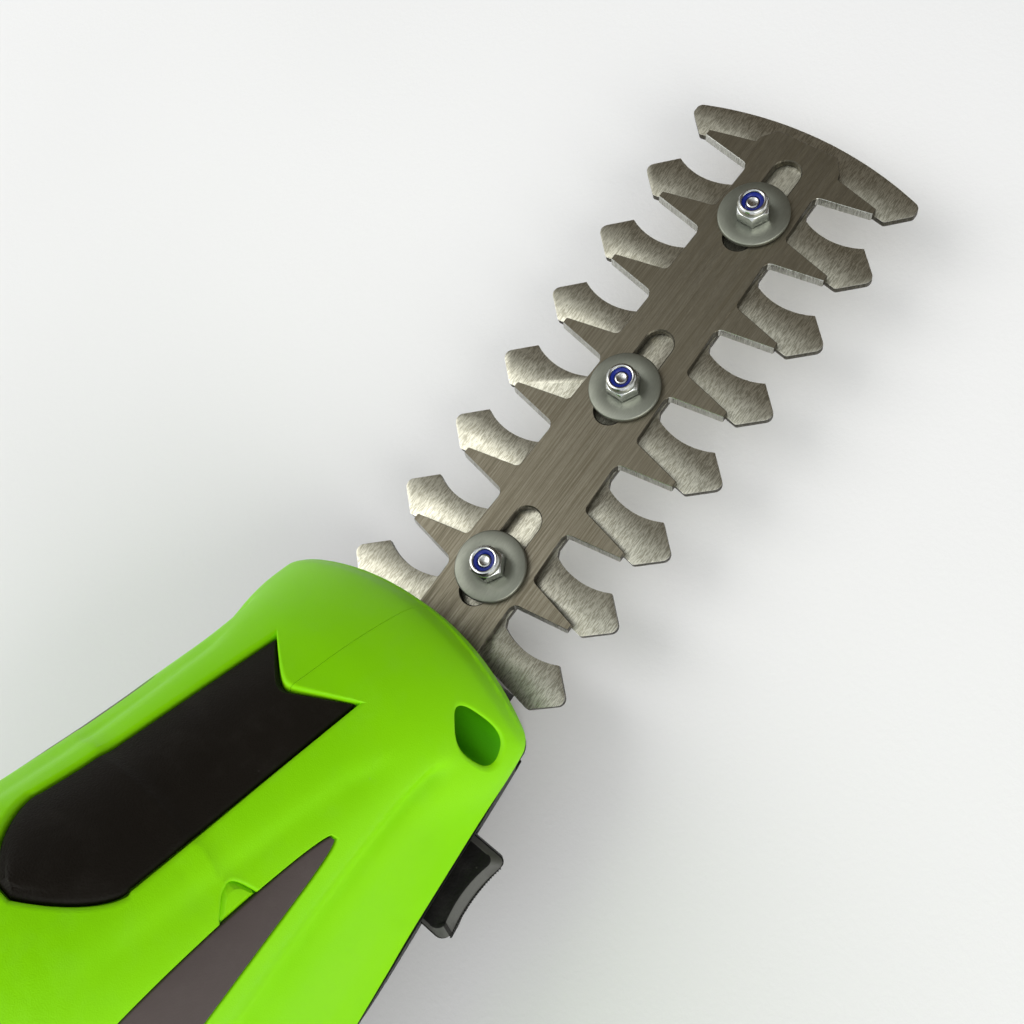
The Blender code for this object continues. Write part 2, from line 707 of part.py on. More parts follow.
def hollow(d, angle):
    """Depth of the long hollow between the hood's upper wall and its flared lower edge."""
    lift = min(math.degrees(angle), 180 - math.degrees(angle)) / hollow_top
    if not 0 < lift < 1:
        return 0.0
    fade = smooth((d - hollow_start) / (hollow_full - hollow_start))
    fade *= 1 - smooth((d - hollow_fade) / (hood_stations[-1][0] * mm - hollow_fade))
    return hollow_depth * fade * math.sin(math.pi * lift ** 0.6)


def hood_point(d, angle, inset=0.0):
    """A place on the hood, or inset from it: angle 0 is the left edge, a quarter turn the top."""
    half = interpolate(hood_stations, d, 1) - inset
    top = interpolate(hood_stations, d, 2) - 1.2 * inset
    y = half * math.cos(angle)
    y = math.copysign(max(abs(y) - hollow(d, angle), 0.0), y)
    z = split_height + max(top - split_height, 0.5 * mm) * math.sin(angle)
    return Vector((nose_x - d - bow(d) * (y / nose_half) ** 2, y, z))


def base_half(d):
    """Half width of the base at a distance behind the nose."""
    return interpolate(base_stations, d, 1)


def tub_inset(height):
    """How far the drafted side of the lower housing lies inside the hood's edge at a height."""
    return tub_recess + tub_draft * (split_height - height)


def base_side(back, height, inset):
    """Half width of the lower housing, or inset from it, at a true distance behind the nose."""
    d = back
    for _ in range(12):
        y = base_half(d) - tub_inset(height) - inset
        d = back - bow(d) * (y / nose_half) ** 2
    return y


def hood_arches(inset=0.0):
    """Arches of the hood from its left edge over the top to its right edge, nose first."""
    places = sorted([row[0] * mm for row in hood_stations] + [hood_extra_place])
    quarter = hood_angles
    if inset:
        first = inset * 1.1
        places = [first] + [p for p in places if first + mm < p < places[-1] - inset]
    if inset == shell_wall:
        quarter = hood_inner_angles
        places = [places[0]] + places[2:-2:2] + places[-2:]
    angles = quarter + [180 - angle for angle in reversed(quarter[:-1])]
    return [[hood_point(d, math.radians(angle), inset) for angle in angles] for d in places]


def handle_point(place, angle, inset=0.0):
    """A place on the handle's tube: place counts the stations, a quarter turn is its outer side."""
    last = len(handle_stations) - 1
    index = min(int(place), last - 1)
    t = place - index
    rows = [handle_stations[min(max(index + k, 0), last)] for k in (-1, 0, 1, 2)]
    spot, slope = [], []
    for a, b, c, e in zip(*rows):
        spot.append(0.5 * (2 * b + (c - a) * t + (2 * a - 5 * b + 4 * c - e) * t**2
                           + (3 * b - a - 3 * c + e) * t**3) * mm)
        slope.append(0.5 * ((c - a) + 2 * (2 * a - 5 * b + 4 * c - e) * t
                            + 3 * (3 * b - a - 3 * c + e) * t**2))
    way = Vector((-slope[0], 0, slope[1])).normalized()
    across = Vector((0, 1, 0))
    out = across.cross(way)
    c, s = math.cos(angle), math.sin(angle)
    side = (spot[2] - inset) * math.copysign(abs(c) ** handle_squareness, c)
    rise = (spot[3] - inset) * math.copysign(abs(s) ** handle_squareness, s)
    return Vector((nose_x - spot[0], 0, spot[1])) + across * side + out * rise


def finger_grip_span():
    """Start and end of the grip under the fingers, which begins behind the trigger, and its angles."""
    start = (trigger_back + finger_grip_behind) / mm
    rows = [row[0] for row in handle_stations]
    index = max(i for i in range(len(rows) - 1) if rows[i] <= start)
    start = index + (start - rows[index]) / (rows[index + 1] - rows[index])
    return (start, finger_grip_end, *finger_grip_angles)


def handle_rings(inset=0.0):
    """Rings of the handle's tube, which rises from the hood and comes down at the back."""
    per_station, sides = (1, 12) if inset == shell_wall else (2, 16)
    steps = per_station * (len(handle_stations) - 1)
    return [[handle_point(i / per_station, 2 * math.pi * k / sides, inset) for k in range(sides)]
            for i in range(steps + 1)]


def deck_rings(inset, low):
    """Rings of the low deck under the hand, from the hood to the back."""
    rings = []
    for row in base_stations[2:]:
        d = row[0] * mm
        if row is base_stations[-1]:
            d -= inset
        half = base_half(d) - inset
        top = deck_height - inset
        ring = [Vector((nose_x - d, half, low))]
        for k in range(3):
            a = math.radians(45 * k)
            ring.append(Vector((nose_x - d, half - deck_corner * (1 - math.cos(a)),
                                top - deck_corner * (1 - math.sin(a)))))
        ring += [Vector((p.x, -p.y, p.z)) for p in reversed(ring)]
        rings.append(ring)
    return rings


def base_outline(inset):
    """Outline of the base from above, inset from the hood's edge, with its bowed nose."""
    share = (body_length - 2 * inset) / body_length
    places = sorted([row[0] * mm for row in base_stations[1:]] + outline_extra_places)
    places = [inset + d * share for d in places]
    side = [(d, max(base_half(d) - inset, 2 * mm)) for d in places]
    nose = [(inset, (base_half(inset) - inset) * (1 - k / 5)) for k in range(11)]
    outline = [(d, y) for d, y in reversed(side)] + nose + [(d, -y) for d, y in side]
    return [(nose_x - d - bow(d) * (y / nose_half) ** 2, y) for d, y in outline]


def hull_rings(inset, low, high, corner):
    """Rings of the drafted lower housing, or inset from it, from a rounded bottom edge up to a height."""
    levels = []
    for angle in (0, 45, 90):
        a = math.radians(angle)
        levels.append((low + corner * (1 - math.sin(a)), corner * (1 - math.cos(a))))
    levels = levels[::-1] + [(high, 0.0)]
    return [[Vector((x, y, z)) for x, y in base_outline(tub_inset(z) + inset + extra)]
            for z, extra in levels]


def grid(rows, columns, place):
    """A grid of points from a function of two shares, each from 0 to 1."""
    return [[place(i / (rows - 1), j / (columns - 1)) for j in range(columns)] for i in range(rows)]


def pad_place(along, across, inset, margin=0.0):
    """A place on the arrow-shaped pad that lies on the slope above the blade."""
    side = 2 * across - 1
    front = pad_front - pad_notch * abs(side) - margin
    half = pad_half_front + (pad_half_back - pad_half_front) * min(along / pad_corner, 1.0)
    if along > pad_corner:
        point = (along - pad_corner) / (1 - pad_corner)
        half *= (1 - point) * (1 + pad_bulge * point) + pad_blunt * math.sqrt(point)
    d = front + (pad_back + margin - front) * along
    y = (half + margin) * side
    return hood_point(d, math.acos(y / interpolate(hood_stations, d, 1)), inset)


def pad_depth(along):
    """The pad lies deeper in its recess at the front than at the back."""
    return pad_depth_front + (pad_depth_back - pad_depth_front) * along


def even_depth(along):
    """The other inlays lie at one depth."""
    return flush


def plate_place(along, across, inset, side, margin=0.0):
    """A place on the tapered plate on the side of the hood."""
    d = plate_front - margin + (plate_length + 2 * margin) * along
    spread = math.sqrt(along + 0.006)
    edge = math.degrees(margin / (40 * mm))
    low, high = plate_angle - plate_fall * spread - edge, plate_angle + plate_rise * spread + edge
    angle = math.radians(low + (high - low) * across)
    return hood_point(d, angle if side > 0 else math.pi - angle, inset)


def grip_place(along, across, inset, span, margin=0.0):
    """A place on one of the two soft inlays of the handle: over the palm, or under the fingers."""
    start, end, middle, spread = span
    reach = margin / (24 * mm)
    place = start - reach + (end - start + 2 * reach) * along
    taper = 1 - 0.35 * (2 * along - 1) ** 4
    half = math.radians(spread) * taper + margin / (16 * mm)
    return handle_point(place, math.radians(middle) + half * (2 * across - 1), inset)


def inlay(name, place, depth, thickness, rows, columns, mat, parts, cutters, *more):
    """Make a thin inlay that follows a surface, and return the cutter of its recess."""
    def sheet(offset, margin):
        return grid(rows, columns, lambda i, j: place(i, j, offset(i), *more, margin))

    skin_block(name, sheet(depth, 0.0), sheet(lambda i: depth(i) + thickness, 0.0), mat, parts)
    return skin_block(name + "_recess", sheet(lambda i: -3 * mm, fit_gap),
                      sheet(lambda i: depth(i) + thickness + fit_gap, fit_gap), None, cutters)


def screw(name, seat, tip, place, mat, parts, axis="Z"):
    """A pan-head screw whose head rests at the seat and whose shank runs to its tip."""
    way = 1 if tip > seat else -1
    head, height = screw_head_radius, screw_head_height * way
    profile = [(0, seat - height), (head * 0.8, seat - height), (head, seat - height * 0.55), (head, seat),
               (screw_radius, seat), (screw_radius, tip - mm * way), (0, tip)]
    return turned(name, profile, place, mat, parts, axis, sides=10)


def trigger_pivot():
    """The place of the trigger's pivot."""
    return (nose_x - trigger_back, 0, trigger_pivot_height)


def lock_off_spot():
    """The middle of the lock-off button's axis, and how far out the handle's wall is there."""
    angle = math.radians(lock_off_angle)
    outer = handle_point(lock_off_station, angle)
    return (outer.x, 0, outer.z), outer.y


def switch_corners(margin=0.0):
    """Lowest and highest corner of the switch body, grown by a margin."""
    length, width, height = switch_size
    middle = nose_x - switch_back
    low = (middle - length / 2 - margin, -width / 2 - margin, switch_bottom - margin)
    high = (middle + length / 2 + margin, width / 2 + margin, switch_bottom + height + margin)
    return low, high


def shell_body(parts, cutters, mat):
    """Hood, handle and deck as one hollow shell with its bosses, not yet split."""
    deep = split_height - 8 * mm
    deeper = deep - 2 * mm
    shell = vault("right_shell", hood_arches(), deep, mat, parts)
    combine(shell, [loft("handle", handle_rings(), None, cutters),
                    loft("deck", deck_rings(0.0, deep), None, cutters)], "UNION")
    combine(shell, [vault("hood_inner", hood_arches(shell_wall), deeper, None, cutters),
                    loft("handle_inner", handle_rings(shell_wall), None, cutters),
                    loft("deck_inner", deck_rings(shell_wall, deeper), None, cutters)])

    half_wall = shell_wall / 2
    core = vault("core", hood_arches(half_wall), deep, None, cutters)
    combine(core, [loft("handle_core", handle_rings(half_wall), None, cutters),
                   loft("deck_core", deck_rings(half_wall, deep), None, cutters)], "UNION")
    switch_middle = switch_bottom + switch_size[2] / 2
    posts = [(boss_radius, d * mm, z * mm) for d, z in shell_screw_places]
    posts.append((trigger_boss_radius, trigger_back, trigger_pivot_height))
    posts.append((switch_boss_radius, switch_back + 5 * mm, switch_middle))
    bosses = [cylinder("boss", radius, -through, through, (nose_x - d, 0, z), None, cutters, "Y", 12)
              for radius, d, z in posts]
    bosses += [cylinder("base_boss", base_boss_radius, deep + mm, split_height + through,
                        (nose_x - d * mm, y * mm, 0), None, cutters, sides=12) for d, y in base_screw_places]
    for boss in bosses:
        combine(boss, [copy_of(core, "core_copy", cutters)], "INTERSECT")
    bpy.data.objects.remove(core)
    seat_top = shell_wall / 2
    seat = skin_block("pad_seat", grid(6, 5, lambda i, j: pad_place(i, j, seat_top, 2 * mm)),
                      grid(6, 5, lambda i, j: pad_place(i, j, pad_depth(i) + 3.4 * mm, 2 * mm)),
                      None, cutters)
    for piece in [seat] + bosses:
        combine(shell, [piece], "UNION")
    combine(shell, [box("below", (-1, -1, -1), (1, 1, split_height), None, cutters)])
    return shell


def shells(parts, cutters, mats):
    """The two green half shells, and the inlays and screws that sit in them."""
    shell = shell_body(parts, cutters, mats["green_shell"])
    soft, plate = mats["soft_black"], mats["side_plate"]
    cuts = [inlay("front_pad", pad_place, pad_depth, pad_thickness, 10, 5, soft, parts, cutters),
            inlay("palm_grip", grip_place, even_depth, grip_thickness, 9, 5, soft, parts, cutters,
                  palm_grip_span),
            inlay("finger_grip", grip_place, even_depth, grip_thickness, 7, 5, soft, parts, cutters,
                  finger_grip_span())]
    for side, name in ((-1, "side_plate_right"), (1, "side_plate_left")):
        cuts.append(inlay(name, plate_place, even_depth, plate_thickness, 7, 3, plate, parts, cutters, side))

    hole = screw_radius + fit_gap
    floor = -counterbore_floor
    for i, (d, z) in enumerate(shell_screw_places):
        here = (nose_x - d * mm, 0, z * mm)
        cuts.append(cylinder("counterbore", counterbore_radius, -through, floor, here, None, cutters, "Y",
                             12))
        cuts.append(cylinder("screw_hole", hole, floor - mm, shell_screw_reach + mm, here, None, cutters,
                             "Y", 8))
        screw(f"shell_screw_{i + 1}", floor - fit_gap, shell_screw_reach, here, mats["plated_steel"], parts,
              "Y")
    for d, y in base_screw_places:
        cuts.append(cylinder("pilot", hole, split_height - mm, split_height + base_screw_reach + mm,
                             (nose_x - d * mm, y * mm, 0), None, cutters, sides=8))
    half = trigger_width / 2 + fit_gap
    x, y, z = trigger_pivot()
    cuts.append(box("trigger_slot", (x - trigger_slot_back, -half, z - 24 * mm),
                    (x + trigger_slot_front, half, z + 7 * mm), None, cutters))
    reach = trigger_pin_half + fit_gap
    cuts.append(cylinder("pin_hole", trigger_pin_radius + fit_gap, -reach, reach, (x, y, z), None, cutters,
                         "Y", 12))
    cuts.append(box("switch_space", *switch_corners(fit_gap), None, cutters))
    spot, wall = lock_off_spot()
    cuts.append(cylinder("button_hole", lock_off_radius + fit_gap, wall / 2, wall + 5 * mm, spot, None,
                         cutters, "Y", 16))
    cuts.append(cylinder("button_seat", lock_off_radius + lock_off_flange + fit_gap, wall / 2,
                         wall - shell_wall + fit_gap, spot, None, cutters, "Y", 16))
    lens = (nose_x - lens_back, -lens_side, 0)
    cuts.append(cylinder("lens_hole", lens_radius + fit_gap, split_height, deck_height + 5 * mm, lens, None,
                         cutters, sides=12))
    for cut in cuts:
        combine(shell, [cut])

    left = copy_of(shell, "left_shell", parts)
    half_gap = fit_gap / 2
    combine(shell, [box("left_side", (-1, -half_gap, -1), (1, 1, 1), None, cutters)])
    combine(left, [box("right_side", (-1, -1, -1), (1, half_gap, 1), None, cutters)])
    merge_flat_faces(shell)
    merge_flat_faces(left)


def tub(parts, cutters, mats):
    """The black lower housing, with rails for the blade, posts for the drive and its openings."""
    top = split_height - fit_gap
    housing = loft("lower_housing", hull_rings(0.0, land_height, top, tub_corner), mats["black_tub"], parts)
    combine(housing, [loft("tub_inside", hull_rings(tub_wall, tub_wall, top + mm, tub_corner / 2), None,
                           cutters)])
    floor = tub_wall / 2
    rear_x = nose_x - body_length
    release_x = nose_x - release_back
    adds = [box("land", (nose_x - land_back, -land_half, 0),
                (nose_x - land_front, land_half, land_height + mm), None, cutters)]
    cuts = []
    for side in (-1, 1):
        y = sorted((side * (clamp_screw_side - rail_half), side * (clamp_screw_side + rail_half)))
        adds.append(box("rail", (nose_x - guard_tail, y[0], floor), (nose_x - rail_front, y[1],
                                                                     rail_top - fit_gap), None, cutters))
        y = sorted((side * spring_post_side, side * (spring_post_side + spring_post_thickness)))
        adds.append(box("spring_post", (release_x - spring_post_half, y[0], floor),
                        (release_x + spring_post_half, y[1], gear_bottom - mm), None, cutters))
        for d in (drive_post_front, drive_post_back):
            here = (nose_x - d, side * drive_post_side, 0)
            adds.append(cylinder("drive_post", post_radius, floor, drive_plate_bottom - fit_gap, here, None,
                                 cutters, sides=10))
            cuts.append(cylinder("post_pilot", screw_radius + fit_gap, plate_screw_tip - mm,
                                 drive_plate_bottom + mm, here, None, cutters, sides=8))
        for end in (-1, 1):
            x = nose_x - board_back + end * (board_size[0] / 2 - board_post_inset)
            y = side * (board_size[1] / 2 - board_post_inset)
            adds.append(cylinder("board_post", board_post_radius, floor, board_height - fit_gap, (x, y, 0),
                                 None, cutters, sides=8))
        y = sorted((side * release_window_inside, side * (release_face + mm)))
        reach, tall = release_length / 2 + fit_gap, release_height / 2 + fit_gap
        cuts.append(box("release_window", (release_x - reach, y[0], release_centre - tall),
                        (release_x + reach, y[1], release_centre + tall), None, cutters))
        cuts.append(cylinder("clamp_pilot", screw_radius + fit_gap, clamp_screw_tip - mm, blade_height,
                             (nose_x - clamp_screw_back, side * clamp_screw_side, 0), None, cutters, sides=8))
    adds.append(box("socket_cradle", (rear_x + socket_length - 3 * mm, -socket_radius, floor),
                    (rear_x + socket_length + mm, socket_radius, socket_height - mm), None, cutters))
    cuts.append(cylinder("socket_hole", socket_radius + fit_gap, -mm, socket_length + 2 * mm,
                         (rear_x, 0, socket_height), None, cutters, "X", 16))
    for i, (d, y) in enumerate(base_screw_places):
        here = (nose_x - d * mm, y * mm, 0)
        adds.append(cylinder("tower", base_boss_radius, floor, split_height - fit_gap, here, None, cutters,
                             sides=12))
        cuts.append(cylinder("base_counterbore", counterbore_radius, -mm, base_screw_seat, here, None, cutters,
                             sides=12))
        cuts.append(cylinder("base_hole", screw_radius + fit_gap, base_screw_seat - mm, split_height + mm, here,
                             None, cutters, sides=8))
        screw(f"base_screw_{i + 1}", base_screw_seat - fit_gap, split_height + base_screw_reach, here,
              mats["plated_steel"], parts)
    mouth = [(nose_x + 5 * mm, mouth_half), (nose_x + 5 * mm, -mouth_half)]
    wall = tub_inset(mouth_low) + tub_wall + mm
    for k in range(9):
        y = mouth_half * (k / 4 - 1)
        mouth.append((nose_x - wall - nose_bow * (y / nose_half) ** 2, y))
    cuts.append(prism("mouth", mouth, mouth_low, mouth_high, None, cutters))
    for add in adds:
        combine(housing, [add], "UNION")
    for cut in cuts:
        combine(housing, [cut])
    merge_flat_faces(housing)


def clamp_screws(parts, mats):
    """The two screws that hold the blade on its rails."""
    for i, side in enumerate((-1, 1)):
        here = (nose_x - clamp_screw_back, side * clamp_screw_side, 0)
        screw(f"blade_clamp_screw_{i + 1}", blade_height + fit_gap, clamp_screw_tip, here,
              mats["plated_steel"], parts)


def gear_outline(teeth, phase):
    """Outline of a spur gear with straight-flanked teeth; a tooth points at the phase angle."""
    pitch_radius = gear_module * teeth / 2
    root, tip = pitch_radius - 1.25 * gear_module, pitch_radius + 0.85 * gear_module
    flank = math.tan(math.radians(20))
    half = math.pi * gear_module / 4 - gear_backlash / 2
    outline = []
    for i in range(teeth):
        middle = phase + 2 * math.pi * i / teeth
        for radius, side in ((root, -1), (tip, -1), (tip, 1), (root, 1)):
            width = half - (radius - pitch_radius) * flank
            angle = middle + side * min(width / radius, 0.8 * math.pi / teeth)
            outline.append((radius * math.cos(angle), radius * math.sin(angle)))
    return outline


def drive(parts, cutters, mats):
    """Motor, pinion, gear with its crank pin and roller, axle and the plate that carries them."""
    steel, plated, acetal = mats["blade_steel"], mats["plated_steel"], mats["acetal"]
    plate_top = drive_plate_bottom + drive_plate_thickness
    front = nose_x - drive_post_front + drive_plate_margin
    back = nose_x - drive_post_back - drive_plate_margin
    half = drive_plate_half
    outline = rounded([(front, half, drive_plate_corner), (front, -half, drive_plate_corner),
                       (back, -half, drive_plate_corner), (back, half, drive_plate_corner)])
    plate = prism("drive_plate", outline, drive_plate_bottom, plate_top, steel, parts)
    cuts = [cylinder("motor_boss_hole", motor_boss_radius + fit_gap, 0, through, (motor_x, 0, 0), None,
                     cutters, sides=12),
            cylinder("axle_hole", axle_radius + fit_gap, 0, through, (gear_x, 0, 0), None, cutters, sides=12)]
    posts = [(d, side) for d in (drive_post_front, drive_post_back) for side in (-1, 1)]
    for d, side in posts:
        here = (nose_x - d, side * drive_post_side, 0)
        cuts.append(cylinder("plate_hole", screw_radius + fit_gap, 0, through, here, None, cutters, sides=8))
    combine(plate, cuts)
    for i, (d, side) in enumerate((posts[0], posts[3])):
        here = (nose_x - d, side * drive_post_side, 0)
        screw(f"plate_screw_{i + 1}", plate_top + fit_gap, plate_screw_tip, here, plated, parts)

    gear_top = gear_bottom + gear_face
    gear_middle = (gear_x, 0, 0)
    gear = prism("drive_gear", gear_outline(gear_teeth, math.pi / gear_teeth), gear_bottom, gear_top, acetal,
                 parts, gear_middle)
    hub = cylinder("hub", hub_radius, gear_top - mm, drive_plate_bottom - fit_gap, gear_middle, None, cutters,
                   sides=16)
    crank = (gear_x + crank_ahead, math.sqrt(crank_throw**2 - crank_ahead**2), 0)
    pin = cylinder("pin", crank_pin_radius, cutter_top + 2 * fit_gap, gear_bottom + mm, crank, None, cutters,
                   sides=10)
    combine(gear, [hub, pin], "UNION")
    combine(gear, [cylinder("gear_bore", axle_radius + fit_gap, 0, through, gear_middle, None, cutters,
                            sides=12)])
    bore, low, high = crank_pin_radius + fit_gap, cutter_top + fit_gap, gear_bottom - fit_gap
    turned("crank_roller", [(bore, low), (bore, high), (roller_radius, high), (roller_radius, low)], crank,
           plated, parts, sides=16)
    head_bottom, top = high - axle_head_height, plate_top - fit_gap
    turned("gear_axle", [(0, head_bottom), (axle_head_radius, head_bottom), (axle_head_radius, high),
                         (axle_radius, high), (axle_radius, top), (0, top)], gear_middle, plated, parts,
           sides=12)

    motor_middle = (motor_x, 0, 0)
    pinion = prism("motor_pinion", gear_outline(pinion_teeth, 0.0), gear_bottom, gear_top, mats["brass"],
                   parts, motor_middle)
    combine(pinion, [cylinder("pinion_bore", motor_shaft_radius + fit_gap, 0, through, motor_middle, None,
                              cutters, sides=10)])
    cylinder("motor_shaft", motor_shaft_radius, gear_bottom - fit_gap, drive_plate_bottom, motor_middle,
             plated, parts, sides=10)
    low = plate_top + fit_gap
    high = low + motor_length
    boss_low, boss = drive_plate_bottom + fit_gap, motor_boss_radius
    turned("motor", [(0, boss_low), (boss, boss_low), (boss, low), (motor_radius - 0.8 * mm, low),
                     (motor_radius, low + 0.8 * mm), (motor_radius, high - 3 * mm), (motor_radius - mm, high),
                     (4 * mm, high), (4 * mm, high + 1.5 * mm), (0, high + 1.5 * mm)],
           motor_middle, plated, parts, sides=20)


def coil_spring(name, start, end, form, turns, mat, parts):
    """A helical spring between two places, as one unbroken tube."""
    radius, wire = form
    start, end = Vector(start), Vector(end)
    way = (end - start).normalized()
    side = way.orthogonal().normalized()
    other = way.cross(side)
    per_turn = 8
    first, last = start + way * wire, end - way * wire
    places = []
    for i in range(turns * per_turn + 1):
        share = i / (turns * per_turn)
        a = 2 * math.pi * turns * share
        places.append(first.lerp(last, share) + (side * math.cos(a) + other * math.sin(a)) * radius)
    curve = bpy.data.curves.new(name, "CURVE")
    curve.dimensions = "3D"
    curve.bevel_depth = wire
    curve.bevel_resolution = 1
    curve.use_fill_caps = True
    spline = curve.splines.new("POLY")
    spline.points.add(len(places) - 1)
    for point, place in zip(spline.points, places):
        point.co = (*(place - start), 1)
    curve.materials.append(mat)
    obj = bpy.data.objects.new(name, curve)
    obj.location = start
    parts.objects.link(obj)
    apart = min((a - b).length for i, a in enumerate(places) for b in places[i + per_turn // 2:])
    print(f"{name}: least gap between its turns {(apart - 2 * wire) / mm:.2f} mm")
    return obj


def release_button(name, side, parts, cutters, mats):
    """One of the two side buttons that free the blade, with its inner flange and its spring."""
    reach, half_flange = release_length / 2, release_length / 2 + flange_margin
    flange_bottom = release_centre - release_height / 2 - flange_margin
    front = base_side(release_back - half_flange, flange_bottom, tub_wall) - fit_gap
    back = base_side(release_back + half_flange, flange_bottom, tub_wall) - fit_gap
    inner = front - flange_thickness
    flange_outline = [(half_flange, inner), (half_flange, front), (-half_flange, back), (-half_flange, inner)]
    outline = [(-reach, inner + mm), (reach, inner + mm), (reach, release_face - 1.5 * mm),
               (reach - 0.8 * mm, release_face)]
    count = 2 * release_ribs
    for k in range(count + 1):
        x = (reach - 1.4 * mm) * (1 - 2 * k / count)
        dish = release_dish * (1 - (x / reach) ** 2)
        outline.append((x, release_face - dish - (release_rib if k % 2 else 0.0)))
    outline += [(-reach + 0.8 * mm, release_face), (-reach, release_face - 1.5 * mm)]
    tall = release_height / 2
    place = (nose_x - release_back, 0, release_centre)
    button = prism(f"release_button_{name}", [(x, side * y) for x, y in outline], -tall, tall,
                   mats["black_tub"], parts, place)
    flange = prism("flange", [(x, side * y) for x, y in flange_outline], -tall - flange_margin,
                   tall + flange_margin, None, cutters, place)
    combine(button, [flange], "UNION")
    post = spring_post_side + spring_post_thickness + fit_gap
    coil_spring(f"release_spring_{name}", (place[0], side * (inner - fit_gap), release_centre),
                (place[0], side * post, release_centre), release_spring, release_spring_turns,
                mats["spring_steel"], parts)


def trigger_outline():
    """Outline of the trigger seen from the right, measured from its pivot."""
    corners = [(3.5, -1.5, 1.5), (1.5, -9.0, 3.0), (-3.5, -13.0, 3.0), (-9.0, -12.2, 6.0), (-15.0, -12.4, 3.0),
               (-19.5, -8.5, 1.5), (-20.0, 0.5, 0.8), (-12.0, 3.0, 1.0), (1.0, 3.5, 1.5)]
    return rounded([(x * mm, z * mm, radius * mm) for x, z, radius in corners], steps=2)


def controls(parts, cutters, mats):
    """Release buttons, trigger, switch and lock-off button with their springs."""
    black, plated, spring = mats["black_tub"], mats["plated_steel"], mats["spring_steel"]
    for side, name in ((-1, "right"), (1, "left")):
        release_button(name, side, parts, cutters, mats)

    pivot = trigger_pivot()
    half = trigger_width / 2
    trigger = prism("trigger", trigger_outline(), -half, half, black, parts, pivot, "Y")
    combine(trigger, [cylinder("pivot_bore", trigger_pin_radius + fit_gap, -2 * half, 2 * half, pivot, None,
                               cutters, "Y", 12)])
    cylinder("trigger_pin", trigger_pin_radius, -trigger_pin_half, trigger_pin_half, pivot, plated, parts,
             "Y", 12)
    box("trigger_switch", *switch_corners(), black, parts, bevel=0.4 * mm, segments=1)
    x = pivot[0] - trigger_spring_back
    coil_spring("trigger_spring", (x, 0, pivot[2] + trigger_spring_seat + fit_gap),
                (x, 0, switch_bottom - fit_gap), trigger_spring, trigger_spring_turns, spring, parts)

    spot, wall = lock_off_spot()
    stand, edge = wall + lock_off_stand, 0.6 * mm
    seat = wall - shell_wall
    low, flange = seat - lock_off_flange_thickness, lock_off_radius + lock_off_flange
    turned("lock_off_button", [(0, low), (flange, low), (flange, seat), (lock_off_radius, seat),
                               (lock_off_radius, stand - edge), (lock_off_radius - edge, stand), (0, stand)],
           spot, black, parts, "Y", 16)
    coil_spring("lock_off_spring", (spot[0], low - fit_gap, spot[2]),
                (spot[0], switch_size[1] / 2 + fit_gap, spot[2]), lock_off_spring, lock_off_spring_turns,
                spring, parts)


def power(parts, cutters, mats):
    """Battery cell in its holder, control board, charging socket and status lens."""
    cell_x = nose_x - cell_back
    half = cell_length / 2
    nub, rim = 2.8 * mm, 0.8 * mm
    turned("battery_cell", [(0, -half), (cell_radius - rim, -half), (cell_radius, -half + rim),
                            (cell_radius, half - 3 * mm), (cell_radius - 0.5 * mm, half - 2.4 * mm),
                            (cell_radius - 0.5 * mm, half - 1.2 * mm), (nub, half - 1.2 * mm), (nub, half),
                            (0, half)], (cell_x, 0, cell_height), mats["cell_wrap"], parts, "X", 20)
    trough = cell_radius + fit_gap
    reach = half + fit_gap
    bottom = tub_wall + fit_gap
    holder = box("cell_holder", (cell_x - reach - holder_end, -holder_half, bottom),
                 (cell_x + reach + holder_end, holder_half, holder_side_height), mats["black_tub"], parts)
    combine(holder, [cylinder("trough", trough, -reach, reach, (cell_x, 0, cell_height), None, cutters, "X",
                              20)])

    length, width, thickness = board_size
    board_x, top = nose_x - board_back, board_height + thickness
    board = box("control_board", (board_x - length / 2, -width / 2, board_height),
                (board_x + length / 2, width / 2, top), mats["board_green"], parts)
    sink = 0.4 * mm
    blocks = [box("connector", (board_x - 10 * mm, -9 * mm, top - sink), (board_x - 5 * mm, 3 * mm,
                                                                          top + 5 * mm), None, cutters),
              box("driver_chip", (board_x + 2 * mm, 1 * mm, top - sink), (board_x + 9 * mm, 9 * mm,
                                                                          top + 1.6 * mm), None, cutters),
              cylinder("capacitor", 2.6 * mm, top - sink, top + 6 * mm, (board_x + 6 * mm, -7 * mm, 0), None,
                       cutters, sides=12)]
    combine(board, blocks, "UNION")

    rear_x = nose_x - body_length
    flange = socket_radius + socket_flange
    face, back = tub_inset(socket_height - socket_radius) + fit_gap, socket_length
    ledge = tub_inset(socket_height - flange) + tub_wall + fit_gap
    turned("charge_socket", [(0, back), (socket_radius, back), (socket_radius, ledge + 1.5 * mm),
                             (flange, ledge + 1.5 * mm), (flange, ledge), (socket_radius, ledge),
                             (socket_radius, face), (socket_bore, face), (socket_bore, back - 2 * mm),
                             (socket_pin, back - 2 * mm), (socket_pin, face + mm), (0, face + mm)],
           (rear_x, 0, socket_height), mats["black_tub"], parts, "X", 16)

    deck_inside = deck_height - shell_wall - fit_gap
    proud = deck_height + 0.4 * mm
    turned("status_lens", [(0, deck_inside - 1.2 * mm), (lens_radius + mm, deck_inside - 1.2 * mm),
                           (lens_radius + mm, deck_inside), (lens_radius, deck_inside), (lens_radius, proud),
                           (lens_radius * 0.6, proud + 0.4 * mm), (0, proud + 0.5 * mm)],
           (nose_x - lens_back, -lens_side, 0), mats["clear_lens"], parts, sides=12)


